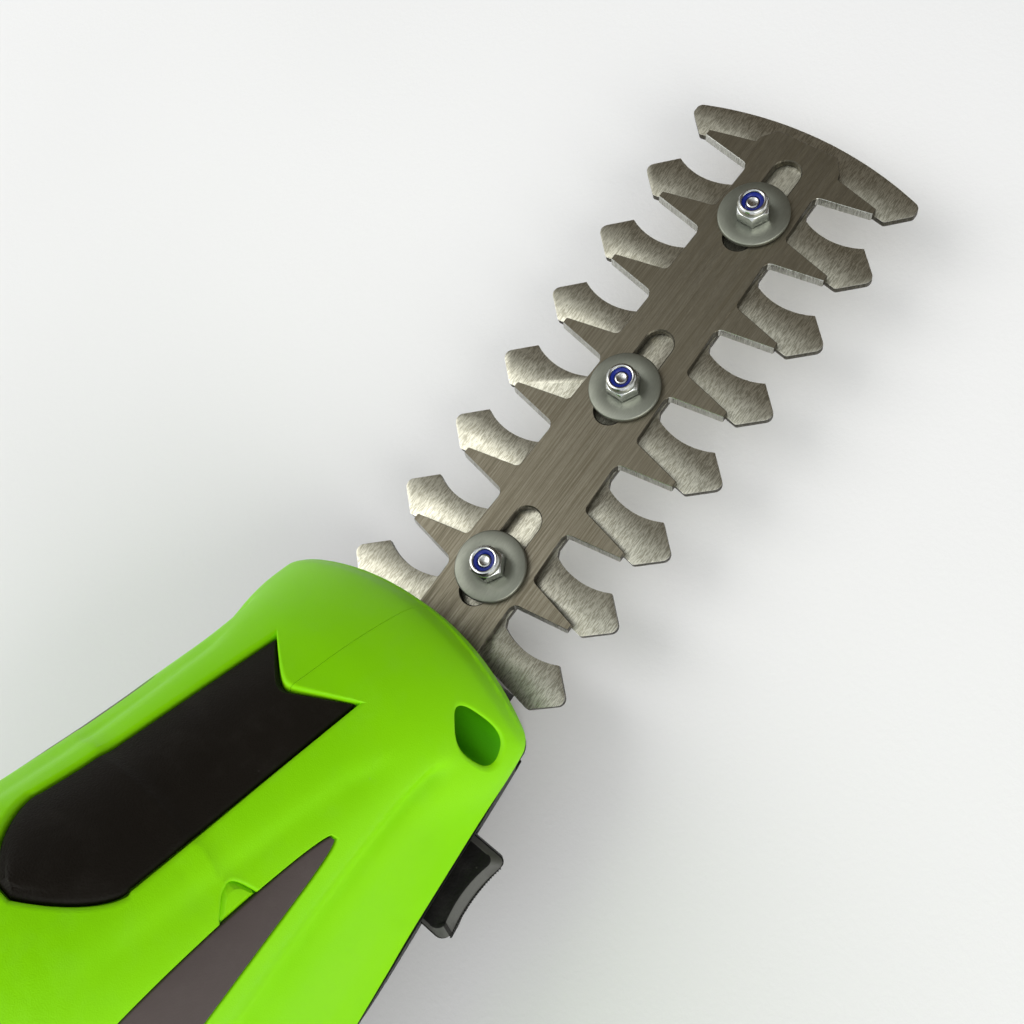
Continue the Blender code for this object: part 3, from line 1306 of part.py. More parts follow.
def main():
    """Clear the scene and build every piece."""
    for obj in list(bpy.data.objects):
        bpy.data.objects.remove(obj)
    parts = new_collection("shrub_shears")
    cutters = new_collection("cutters")
    mats = {name: material(name, *finish) for name, finish in finishes.items()}
    blade_pack(parts, cutters, mats)
    shells(parts, cutters, mats)
    tub(parts, cutters, mats)
    clamp_screws(parts, mats)
    drive(parts, cutters, mats)
    controls(parts, cutters, mats)
    power(parts, cutters, mats)


main()
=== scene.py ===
"""Looks of the cordless shrub shears: the visible pieces, their finishes, the studio and the camera.

Units are metres, +X points along the blade, +Z is up and the floor is z = 0. The distance d of a place
on the casing is measured backwards from the casing's nose.
"""

import json
import logging
import math
from collections.abc import Callable, Sequence
from dataclasses import dataclass
from enum import Enum
from typing import ClassVar

import bpy
import numpy as np
from mathutils import Matrix, Vector


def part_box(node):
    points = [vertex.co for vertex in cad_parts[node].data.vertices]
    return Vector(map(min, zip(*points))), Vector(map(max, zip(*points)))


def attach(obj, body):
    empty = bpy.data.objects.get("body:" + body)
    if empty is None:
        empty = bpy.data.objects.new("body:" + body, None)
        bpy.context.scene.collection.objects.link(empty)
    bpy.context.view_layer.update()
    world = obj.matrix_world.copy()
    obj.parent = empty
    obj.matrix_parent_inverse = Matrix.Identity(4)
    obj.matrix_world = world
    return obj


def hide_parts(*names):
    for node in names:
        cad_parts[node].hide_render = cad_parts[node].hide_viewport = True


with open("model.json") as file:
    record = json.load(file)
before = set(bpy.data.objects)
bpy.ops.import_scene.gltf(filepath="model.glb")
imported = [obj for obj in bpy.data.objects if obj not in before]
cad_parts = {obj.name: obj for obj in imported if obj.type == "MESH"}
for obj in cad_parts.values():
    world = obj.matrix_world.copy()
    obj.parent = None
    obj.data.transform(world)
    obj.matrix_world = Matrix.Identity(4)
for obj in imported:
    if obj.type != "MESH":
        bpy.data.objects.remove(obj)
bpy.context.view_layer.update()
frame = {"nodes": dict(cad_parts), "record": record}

MM = 0.001
NOSE_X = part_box("right_shell")[1].x
BASE_SCREWS = ((12.5, 18.2), (12.5, -18.2), (104.0, 19.5), (104.0, -19.5))
TOWER_RADIUS = 4.1 * MM
SCREW_HOLE = 1.7 * MM
FAR = 60 * MM
WELD = 0.000001
DUST = (0.42, 0.40, 0.36)
log = logging.getLogger("shears")

Object, Material, Socket = bpy.types.Object, bpy.types.Material, bpy.types.NodeSocket
Outline = list[tuple[float, float]]
Corners = list[tuple[float, float, float]]
Colour = tuple[float, float, float]
PlaceRule = Callable[[np.ndarray, np.ndarray, float], np.ndarray]
DepthRule = Callable[[np.ndarray], np.ndarray]


class Body(Enum):
    """Bodies of the frame that pieces ride on."""

    HOUSING = "housing"
    BLADE = "blade"
    RELEASE_RIGHT = "release_right"
    RELEASE_LEFT = "release_left"


class Slot(Enum):
    """Material slots of the record."""

    GREEN = "green_shell"
    TUB = "black_tub"
    SOFT = "soft_black"
    PLATE = "side_plate"
    BLADE = "blade_steel"
    PLATED = "plated_steel"
    SPRING = "spring_steel"
    BRASS = "brass"
    NYLON = "nylon_blue"
    ACETAL = "acetal"
    CELL = "cell_wrap"
    BOARD = "board_green"
    LENS = "clear_lens"


class Axis(Enum):
    """Direction of a turned piece's axis."""

    X = "X"
    Y = "Y"
    Z = "Z"


# Node graphs


class Graph:
    """A node tree that is built by short calls."""

    def __init__(self, tree: bpy.types.NodeTree) -> None:
        """Keep the node tree of a material or of a group."""
        self.tree = tree

    def node(self, kind: str, **settings: object) -> bpy.types.Node:
        """Add a node.

        Args:
            kind: The node's type, such as ShaderNodeMath.
            settings: Properties of the node; a name that starts with in_ sets an input by its place.

        Returns:
            The new node.
        """
        node = self.tree.nodes.new(kind)
        for name, value in settings.items():
            if name.startswith("in_"):
                node.inputs[int(name[3:])].default_value = value
            else:
                setattr(node, name, value)
        return node

    def link(self, source: Socket, target: Socket) -> None:
        """Join two sockets."""
        self.tree.links.new(source, target)

    def give(self, socket: Socket, value: object) -> None:
        """Feed an input from another socket, or set it to a colour or a number.

        Args:
            socket: The input.
            value: A socket, a colour or a number.
        """
        if isinstance(value, Socket):
            self.link(value, socket)
        else:
            socket.default_value = (*value, 1.0) if socket.type == "RGBA" else value

    def calc(self, operation: str, *values: object, clamp: bool = False) -> Socket:
        """Add a Math node.

        Args:
            operation: The operation's name.
            values: Sockets or numbers for its inputs.
            clamp: Whether the result is kept between 0 and 1.

        Returns:
            The result's socket.
        """
        node = self.node("ShaderNodeMath", operation=operation, use_clamp=clamp)
        for socket, value in zip(node.inputs, values):
            self.give(socket, value)
        return node.outputs[0]

    def spread(self, value: Socket, low: float, high: float) -> Socket:
        """Map a range of values smoothly on 0 to 1.

        Args:
            value: The socket that is mapped.
            low: The value that becomes 0.
            high: The value that becomes 1.

        Returns:
            The result's socket.
        """
        node = self.node("ShaderNodeMapRange", interpolation_type="SMOOTHSTEP", in_1=low, in_2=high)
        self.link(value, node.inputs[0])
        return node.outputs[0]

    def mix(self, share: Socket, first: object, second: object) -> Socket:
        """Mix two colours.

        Args:
            share: How much of the second colour shows.
            first: A socket or a colour.
            second: A socket or a colour.

        Returns:
            The mixed colour's socket.
        """
        node = self.node("ShaderNodeMix", data_type="RGBA")
        for place, value in ((0, share), (6, first), (7, second)):
            self.give(node.inputs[place], value)
        return node.outputs[2]

    def places(self, scale: Sequence[float] = (1, 1, 1), turn: float = 0.0) -> Socket:
        """Object coordinates, turned and scaled.

        Args:
            scale: Scale along each axis.
            turn: Turn about Z, in degrees.

        Returns:
            The socket of the coordinates.
        """
        source = self.node("ShaderNodeTexCoord").outputs["Object"]
        mapping = self.node("ShaderNodeMapping", vector_type="POINT")
        mapping.inputs["Scale"].default_value = scale
        mapping.inputs["Rotation"].default_value[2] = math.radians(turn)
        self.link(source, mapping.inputs["Vector"])
        return mapping.outputs[0]

    def noise(self, place: Socket, scale: float | Socket, detail: float = 3.0,
              roughness: float = 0.55) -> Socket:
        """Noise at some coordinates.

        Args:
            place: The coordinates.
            scale: Spots per unit.
            detail: Number of finer layers.
            roughness: Strength of the finer layers.

        Returns:
            The noise's value, about 0.2 to 0.8.
        """
        node = self.node("ShaderNodeTexNoise")
        for name, value in (("Vector", place), ("Scale", scale), ("Detail", detail),
                            ("Roughness", roughness)):
            self.give(node.inputs[name], value)
        return node.outputs["Fac"]


class EffectGroups:
    """Node groups of the effects that several materials share, each built once."""

    def __init__(self) -> None:
        """Build every group and keep them by name."""
        self.trees = {"grain": self.make_grain(), "scratches": self.make_scratches(),
                      "brushed": self.make_brushed(), "wear": self.make_wear(), "dust": self.make_dust()}

    @staticmethod
    def start(name: str, inputs: dict[str, float], outputs: Sequence[str]) -> tuple[Graph, dict, dict]:
        """Start a group with float sockets.

        Args:
            name: The group's name.
            inputs: Names and default values of its inputs.
            outputs: Names of its outputs.

        Returns:
            Its graph, its inputs' sockets inside, and its outputs' sockets inside.
        """
        tree = bpy.data.node_groups.new(name, "ShaderNodeTree")
        for label, value in inputs.items():
            socket = tree.interface.new_socket(label, in_out="INPUT", socket_type="NodeSocketFloat")
            socket.default_value = value
        for label in outputs:
            tree.interface.new_socket(label, in_out="OUTPUT", socket_type="NodeSocketFloat")
        graph = Graph(tree)
        entry = graph.node("NodeGroupInput")
        leave = graph.node("NodeGroupOutput")
        return graph, {s.name: s for s in entry.outputs}, {s.name: s for s in leave.inputs}

    def make_grain(self) -> bpy.types.NodeTree:
        """Fine moulded grain with a slow change of tone.

        Returns:
            The group, with outputs Grain and Tone.
        """
        graph, entry, leave = self.start("moulded_grain", {"Spots": 3500.0}, ("Grain", "Tone"))
        place = graph.places()
        fine = graph.noise(place, entry["Spots"], 2.0, 0.5)
        graph.link(graph.spread(fine, 0.3, 0.7), leave["Grain"])
        graph.link(graph.spread(graph.noise(place, 38.0), 0.3, 0.7), leave["Tone"])
        return graph.tree

    def make_scratches(self) -> bpy.types.NodeTree:
        """Short thin scratches in several directions.

        Returns:
            The group, with input Amount and outputs Mask and Fine.
        """
        graph, entry, leave = self.start("random_scratches", {"Amount": 0.5}, ("Mask", "Fine"))
        lines = []
        for turn, across, along in ((12, 4600, 330), (48, 6000, 520), (97, 5200, 300), (139, 6600, 600),
                                    (163, 4000, 240)):
            place = graph.places((along, across, along), turn)
            lines.append(graph.noise(place, 1.0, 1.0, 0.4))
        limit = graph.calc("MULTIPLY_ADD", entry["Amount"], -0.16, 0.80)
        mask = None
        for line in lines:
            over = graph.calc("SUBTRACT", line, limit)
            thin = graph.calc("MULTIPLY", over, 16.0, clamp=True)
            mask = thin if mask is None else graph.calc("MAXIMUM", mask, thin)
        fine = graph.calc("MULTIPLY", lines[1], lines[3])
        graph.link(mask, leave["Mask"])
        graph.link(graph.spread(fine, 0.15, 0.4), leave["Fine"])
        return graph.tree

    def make_brushed(self) -> bpy.types.NodeTree:
        """Fine lines of a brushed or ground surface, along X.

        Returns:
            The group, with outputs Lines and Streaks.
        """
        graph, _, leave = self.start("brushed_lines", {}, ("Lines", "Streaks"))
        lines = graph.noise(graph.places((42, 3300, 3300)), 1.0, 3.0, 0.7)
        streaks = graph.noise(graph.places((14, 900, 900)), 1.0, 3.0, 0.6)
        graph.link(graph.spread(lines, 0.38, 0.62), leave["Lines"])
        graph.link(graph.spread(streaks, 0.35, 0.65), leave["Streaks"])
        return graph.tree

    def make_wear(self) -> bpy.types.NodeTree:
        """Mask of convex edges, broken up by noise.

        Returns:
            The group, with inputs Radius and Spots and output Mask.
        """
        graph, entry, leave = self.start("edge_wear", {"Radius": 0.0004, "Spots": 900.0}, ("Mask",))
        bevel = graph.node("ShaderNodeBevel", samples=6)
        graph.link(entry["Radius"], bevel.inputs["Radius"])
        plain = graph.node("ShaderNodeNewGeometry")
        dot = graph.node("ShaderNodeVectorMath", operation="DOT_PRODUCT")
        graph.link(bevel.outputs[0], dot.inputs[0])
        graph.link(plain.outputs["Normal"], dot.inputs[1])
        edge = graph.spread(dot.outputs["Value"], 0.98, 0.80)
        broken = graph.noise(graph.places(), entry["Spots"], 3.0, 0.5)
        graph.link(graph.calc("MULTIPLY", edge, graph.spread(broken, 0.35, 0.6)), leave["Mask"])
        return graph.tree

    def make_dust(self) -> bpy.types.NodeTree:
        """Thin dust and specks on what faces up.

        Returns:
            The group, with outputs Film and Specks.
        """
        graph, _, leave = self.start("dust", {}, ("Film", "Specks"))
        normal = graph.node("ShaderNodeSeparateXYZ")
        graph.link(graph.node("ShaderNodeNewGeometry").outputs["Normal"], normal.inputs[0])
        up = graph.spread(normal.outputs["Z"], 0.1, 0.9)
        place = graph.places()
        film = graph.spread(graph.noise(place, 160.0, 4.0, 0.65), 0.45, 0.75)
        cells = graph.node("ShaderNodeTexVoronoi", feature="F1")
        cells.inputs["Scale"].default_value = 420.0
        graph.link(place, cells.inputs["Vector"])
        speck = graph.spread(cells.outputs["Distance"], 0.11, 0.05)
        rare = graph.node("ShaderNodeSeparateColor")
        graph.link(cells.outputs["Color"], rare.inputs[0])
        chosen = graph.spread(rare.outputs[0], 0.93, 0.95)
        graph.link(graph.calc("MULTIPLY", up, film), leave["Film"])
        graph.link(graph.calc("MULTIPLY", graph.calc("MULTIPLY", speck, chosen), up), leave["Specks"])
        return graph.tree


EFFECTS = EffectGroups()


class Surface(Graph):
    """A material's own graph, with its Principled shader."""

    def __init__(self, name: str) -> None:
        """Make a material with a plain Principled shader.

        Args:
            name: Its name.
        """
        self.material = bpy.data.materials.new(name)
        self.material.use_nodes = True
        super().__init__(self.material.node_tree)
        self.shader = self.tree.nodes["Principled BSDF"]

    def effect(self, name: str, **values: float) -> dict[str, Socket]:
        """Place one of the shared effects.

        Args:
            name: The effect's name.
            values: Values of its inputs.

        Returns:
            Its outputs by name.
        """
        node = self.node("ShaderNodeGroup", node_tree=EFFECTS.trees[name])
        for label, value in values.items():
            node.inputs[label].default_value = value
        return {socket.name: socket for socket in node.outputs}

    def feed(self, name: str, value: object) -> None:
        """Give an input of the shader a socket, a colour or a number."""
        self.give(self.shader.inputs[name], value)

    def bump(self, *heights: tuple[Socket, float]) -> None:
        """Bump the surface by some heights.

        Args:
            heights: Pairs of a socket from 0 to 1 and the depth that it stands for, in metres.
        """
        below = None
        for socket, depth in heights:
            node = self.node("ShaderNodeBump")
            node.inputs["Distance"].default_value = depth
            self.link(socket, node.inputs["Height"])
            if below is not None:
                self.link(below, node.inputs["Normal"])
            below = node.outputs[0]
        self.link(below, self.shader.inputs["Normal"])


# Finishes


@dataclass(frozen=True)
class Plastic:
    """Moulded plastic or soft rubber with grain, dust and paler edges, which stand for wear and, on the black
    pieces, also for painted highlight.

    Attributes:
        name: The material's name.
        colour: Main colour.
        tone: Colour of its slow variation.
        worn: Colour of its paler edges: wear, and painted highlight on the black pieces.
        roughness: Middle roughness.
        grain: Depth of the grain, in metres.
        spots: Grain spots per metre.
        edge: Width of the paler edges, in metres.
        wear: Strength of the paler edges.
        dust: Strength of the dust.
        scuffs: How much of the surface is scratched.
        shine: Specular level.
    """

    name: str
    colour: Colour
    tone: Colour
    worn: Colour
    roughness: float = 0.4
    grain: float = 0.00002
    spots: float = 3500.0
    edge: float = 0.0004
    wear: float = 0.4
    dust: float = 0.1
    scuffs: float = 0.15
    shine: float = 0.3

    def build(self) -> Material:
        """Build the material.

        Returns:
            The material.
        """
        surface = Surface(self.name)
        grain = surface.effect("grain", Spots=self.spots)
        wear = surface.effect("wear", Radius=self.edge)
        dust = surface.effect("dust")
        scratches = surface.effect("scratches", Amount=self.scuffs)
        colour = surface.mix(grain["Tone"], self.colour, self.tone)
        worn = surface.calc("MULTIPLY", wear["Mask"], self.wear)
        colour = surface.mix(worn, colour, self.worn)
        film = surface.calc("MULTIPLY", dust["Film"], self.dust)
        specks = surface.calc("MULTIPLY", dust["Specks"], min(self.dust * 4, 0.8))
        settled = surface.calc("MAXIMUM", film, specks)
        surface.feed("Base Color", surface.mix(settled, colour, DUST))
        rough = surface.calc("MULTIPLY_ADD", grain["Tone"], 0.06, self.roughness - 0.05)
        rough = surface.calc("MULTIPLY_ADD", grain["Grain"], 0.05, rough)
        rough = surface.calc("MULTIPLY_ADD", scratches["Mask"], 0.12, rough)
        surface.feed("Roughness", surface.calc("MULTIPLY_ADD", settled, 0.3, rough, clamp=True))
        surface.feed("Specular IOR Level", self.shine)
        surface.bump((grain["Grain"], self.grain), (scratches["Mask"], -0.000006))
        return surface.material


@dataclass(frozen=True)
class Steel:
    """Steel with ground lines, scratches and stains.

    Attributes:
        name: The material's name.
        bright: Colour of the clean metal.
        dull: Colour of its stained patches.
        roughness: Middle roughness.
        brushed: Strength of the lines along X.
        scratched: How much of the surface is scratched.
        stained: Strength of the stains.
        edge: Width of the bright worn edges, in metres.
        mottled: Strength of the fine mottling.
        worn: Strength of the bright edges.
    """

    name: str
    bright: Colour
    dull: Colour
    roughness: float = 0.35
    brushed: float = 0.5
    scratched: float = 0.5
    stained: float = 0.6
    edge: float = 0.0002
    mottled: float = 0.3
    worn: float = 1.0

    def build(self) -> Material:
        """Build the material.

        Returns:
            The material.
        """
        surface = Surface(self.name)
        brushed = surface.effect("brushed")
        scratches = surface.effect("scratches", Amount=self.scratched)
        wear = surface.effect("wear", Radius=self.edge, Spots=2500.0)
        stains = surface.noise(surface.places((1, 1.6, 1), 35), 75.0, 5.0, 0.62)
        stains = surface.calc("MULTIPLY", surface.spread(stains, 0.35, 0.68), self.stained)
        colour = surface.mix(stains, self.bright, self.dull)
        streaks = surface.calc("MULTIPLY", brushed["Streaks"], 0.25 * self.brushed)
        streaks = surface.calc("MULTIPLY_ADD", brushed["Lines"], 0.6 * self.brushed, streaks, clamp=True)
        colour = surface.mix(streaks, colour, self.dull)
        spots = surface.noise(surface.places((0.13, 1, 1), -24), 6400.0, 2.0, 0.6)
        spots = surface.calc("MULTIPLY", surface.spread(spots, 0.46, 0.56), self.mottled)
        colour = surface.mix(spots, colour, self.dull)
        lighter = tuple(min(c * 1.6, 0.9) for c in self.bright)
        colour = surface.mix(surface.calc("MULTIPLY", scratches["Mask"], 0.25), colour, lighter)
        worn = surface.calc("MULTIPLY", wear["Mask"], self.worn)
        surface.feed("Base Color", surface.mix(worn, colour, lighter))
        rough = surface.calc("MULTIPLY_ADD", brushed["Lines"], 0.16 * self.brushed, self.roughness - 0.06)
        rough = surface.calc("MULTIPLY_ADD", stains, 0.14, rough)
        surface.feed("Roughness", surface.calc("MULTIPLY_ADD", scratches["Fine"], 0.06, rough, clamp=True))
        surface.feed("Metallic", 1.0)
        surface.bump((brushed["Lines"], 0.000006 * self.brushed), (scratches["Mask"], -0.00001))
        return surface.material


@dataclass(frozen=True)
class GroundEdge:
    """Bright ground flank of a tooth, with fine ticks across it.

    Attributes:
        name: The material's name.
        bright: Colour of the fresh grinding.
        dull: Colour between the ticks.
        roughness: Middle roughness.
    """

    name: str
    bright: Colour
    dull: Colour
    roughness: float = 0.28

    def build(self) -> Material:
        """Build the material.

        Returns:
            The material.
        """
        surface = Surface(self.name)
        ticks = surface.noise(surface.places((500, 6500, 350)), 1.0, 2.0, 0.6)
        ticks = surface.spread(ticks, 0.35, 0.65)
        patches = surface.spread(surface.noise(surface.places(), 260.0, 3.0), 0.35, 0.7)
        shade = surface.calc("MULTIPLY", ticks, surface.calc("MULTIPLY_ADD", patches, 0.5, 0.4))
        surface.feed("Base Color", surface.mix(shade, self.bright, self.dull))
        surface.feed("Metallic", 1.0)
        surface.feed("Roughness", surface.calc("MULTIPLY_ADD", ticks, 0.16, self.roughness - 0.06))
        surface.bump((ticks, 0.00001))
        return surface.material


@dataclass(frozen=True)
class ClearLens:
    """Clear moulded light pipe.

    Attributes:
        name: The material's name.
        colour: Tint of the plastic.
    """

    name: str
    colour: Colour

    def build(self) -> Material:
        """Build the material.

        Returns:
            The material.
        """
        surface = Surface(self.name)
        grain = surface.effect("grain", Spots=900.0)
        surface.feed("Base Color", self.colour)
        surface.feed("Transmission Weight", 0.85)
        surface.feed("Roughness", surface.calc("MULTIPLY_ADD", grain["Tone"], 0.12, 0.12))
        surface.bump((grain["Tone"], 0.00001))
        return surface.material


class Finishes:
    """Every material of the tool, built once."""

    def __init__(self) -> None:
        """Build the materials."""
        self.green = Plastic("green_plastic", (0.265, 0.74, 0.003), (0.245, 0.715, 0.002), (0.36, 0.8, 0.02),
                             roughness=0.4, grain=0.000012, spots=5200.0, wear=0.2, dust=0.02,
                             scuffs=0.12, shine=0.1).build()
        # Darker green for the insides of the screw wells: painted shade, not a colour of the plastic.
        self.deep = Plastic("green_plastic_painted_shade", (0.06, 0.33, 0.002), (0.05, 0.30, 0.002), (0.1, 0.4, 0.005),
                            roughness=0.5, grain=0.000012, spots=5200.0, wear=0.0, dust=0.0,
                            scuffs=0.0, shine=0.05).build()
        # The paler edges of the black plastic and of the soft rubber are partly wear and partly painted
        # highlight on bevelled rims.
        self.black = Plastic("black_plastic", (0.0045, 0.0044, 0.0036), (0.0065, 0.0062, 0.0053),
                             (0.04, 0.038, 0.034), roughness=0.48, grain=0.00003, spots=2600.0,
                             wear=0.4, dust=0.03, scuffs=0.2, shine=0.13).build()
        # Paler black for the buttons' top rims: painted highlight where the rims catch the light, with some
        # wear on it.
        self.rim = Plastic("black_rim_highlight_and_wear", (0.05, 0.052, 0.046), (0.075, 0.074, 0.066), (0.12, 0.115, 0.1),
                           roughness=0.4, grain=0.00001, wear=0.5, dust=0.1, scuffs=0.4, shine=0.35).build()
        # Its paler rounded rim is partly wear and partly a painted highlight on the pad's bevel.
        self.soft = Plastic("soft_rubber", (0.0068, 0.0052, 0.0032), (0.0085, 0.0065, 0.0042),
                            (0.04, 0.037, 0.03), roughness=0.55, grain=0.00003, spots=3600.0,
                            edge=0.0006, wear=0.8, dust=0.012, scuffs=0.1, shine=0.14).build()
        self.plate = Plastic("grey_plate", (0.068, 0.053, 0.05), (0.08, 0.062, 0.058),
                             (0.16, 0.14, 0.13), roughness=0.42, grain=0.000008, spots=3000.0,
                             wear=0.3, dust=0.06, scuffs=0.3, shine=0.2).build()
        self.guard = Steel("guard_steel", (0.64, 0.625, 0.52), (0.27, 0.255, 0.19), roughness=0.42,
                           brushed=0.1, scratched=0.3, stained=0.25, mottled=0.75, worn=0.3).build()
        self.cutter = Steel("cutter_steel", (0.285, 0.262, 0.20), (0.125, 0.107, 0.07), roughness=0.42,
                            brushed=0.9, scratched=0.15, stained=0.2, mottled=0.2, worn=0.35).build()
        self.ground = GroundEdge("ground_edge", (0.62, 0.62, 0.57), (0.22, 0.21, 0.17)).build()
        # Dark flank: partly the steel's sheared finish, partly painted shade along the blade edges and over
        # the cutter's chamfers.
        self.flank = GroundEdge("sheared_flank_and_shade", (0.10, 0.092, 0.07), (0.04, 0.036, 0.026),
                                roughness=0.45).build()
        self.zinc = Steel("zinc_plate", (0.27, 0.28, 0.235), (0.205, 0.215, 0.175), roughness=0.52,
                          brushed=0.05, scratched=0.2, stained=0.4, edge=0.0003, worn=0.8).build()
        self.nut = Steel("nut_plate", (0.74, 0.75, 0.73), (0.36, 0.39, 0.36), roughness=0.22, brushed=0.05,
                         scratched=0.3, stained=0.5, edge=0.0003, mottled=0.2).build()
        self.bolt = Steel("bolt_steel", (0.62, 0.62, 0.60), (0.36, 0.36, 0.34), roughness=0.26,
                          brushed=0.3, scratched=0.4, stained=0.4).build()
        self.spring = Steel("spring_wire", (0.42, 0.42, 0.42), (0.25, 0.25, 0.25), roughness=0.3,
                            brushed=0.4, scratched=0.2, stained=0.4).build()
        self.brass = Steel("brass_metal", (0.62, 0.43, 0.13), (0.40, 0.26, 0.08), roughness=0.33,
                           brushed=0.4, scratched=0.3, stained=0.5).build()
        self.nylon = Plastic("blue_nylon", (0.006, 0.012, 0.16), (0.008, 0.02, 0.22), (0.05, 0.09, 0.4),
                             roughness=0.35, grain=0.000008, wear=0.5, dust=0.05).build()
        self.acetal = Plastic("white_acetal", (0.74, 0.72, 0.67), (0.66, 0.63, 0.57), (0.82, 0.80, 0.77),
                              roughness=0.48, grain=0.000008, wear=0.3, dust=0.2).build()
        self.cell = Plastic("cell_film", (0.03, 0.12, 0.32), (0.024, 0.10, 0.28), (0.1, 0.22, 0.45),
                            roughness=0.3, grain=0.000006, spots=1500.0, wear=0.3, dust=0.05).build()
        self.board = Plastic("coated_board", (0.018, 0.15, 0.05), (0.013, 0.11, 0.04), (0.3, 0.3, 0.2),
                             roughness=0.42, grain=0.00001, spots=1800.0, wear=0.4, dust=0.1).build()
        self.lens = ClearLens("clear_plastic", (0.75, 0.80, 0.78)).build()

    def of_slot(self, slot: str) -> Material:
        """Find the material of one of the record's slots.

        Args:
            slot: The slot's name.

        Returns:
            Its material.
        """
        table = {Slot.GREEN: self.green, Slot.TUB: self.black, Slot.SOFT: self.soft, Slot.PLATE: self.plate,
                 Slot.BLADE: self.cutter, Slot.PLATED: self.zinc, Slot.SPRING: self.spring,
                 Slot.BRASS: self.brass, Slot.NYLON: self.nylon, Slot.ACETAL: self.acetal,
                 Slot.CELL: self.cell, Slot.BOARD: self.board, Slot.LENS: self.lens}
        return table[Slot(slot)]


# Shaping tools


def at(d: float, y: float = 0.0, z: float = 0.0) -> Vector:
    """Give the place at a distance behind the nose, with all three in millimetres."""
    return Vector((NOSE_X - d * MM, y * MM, z * MM))


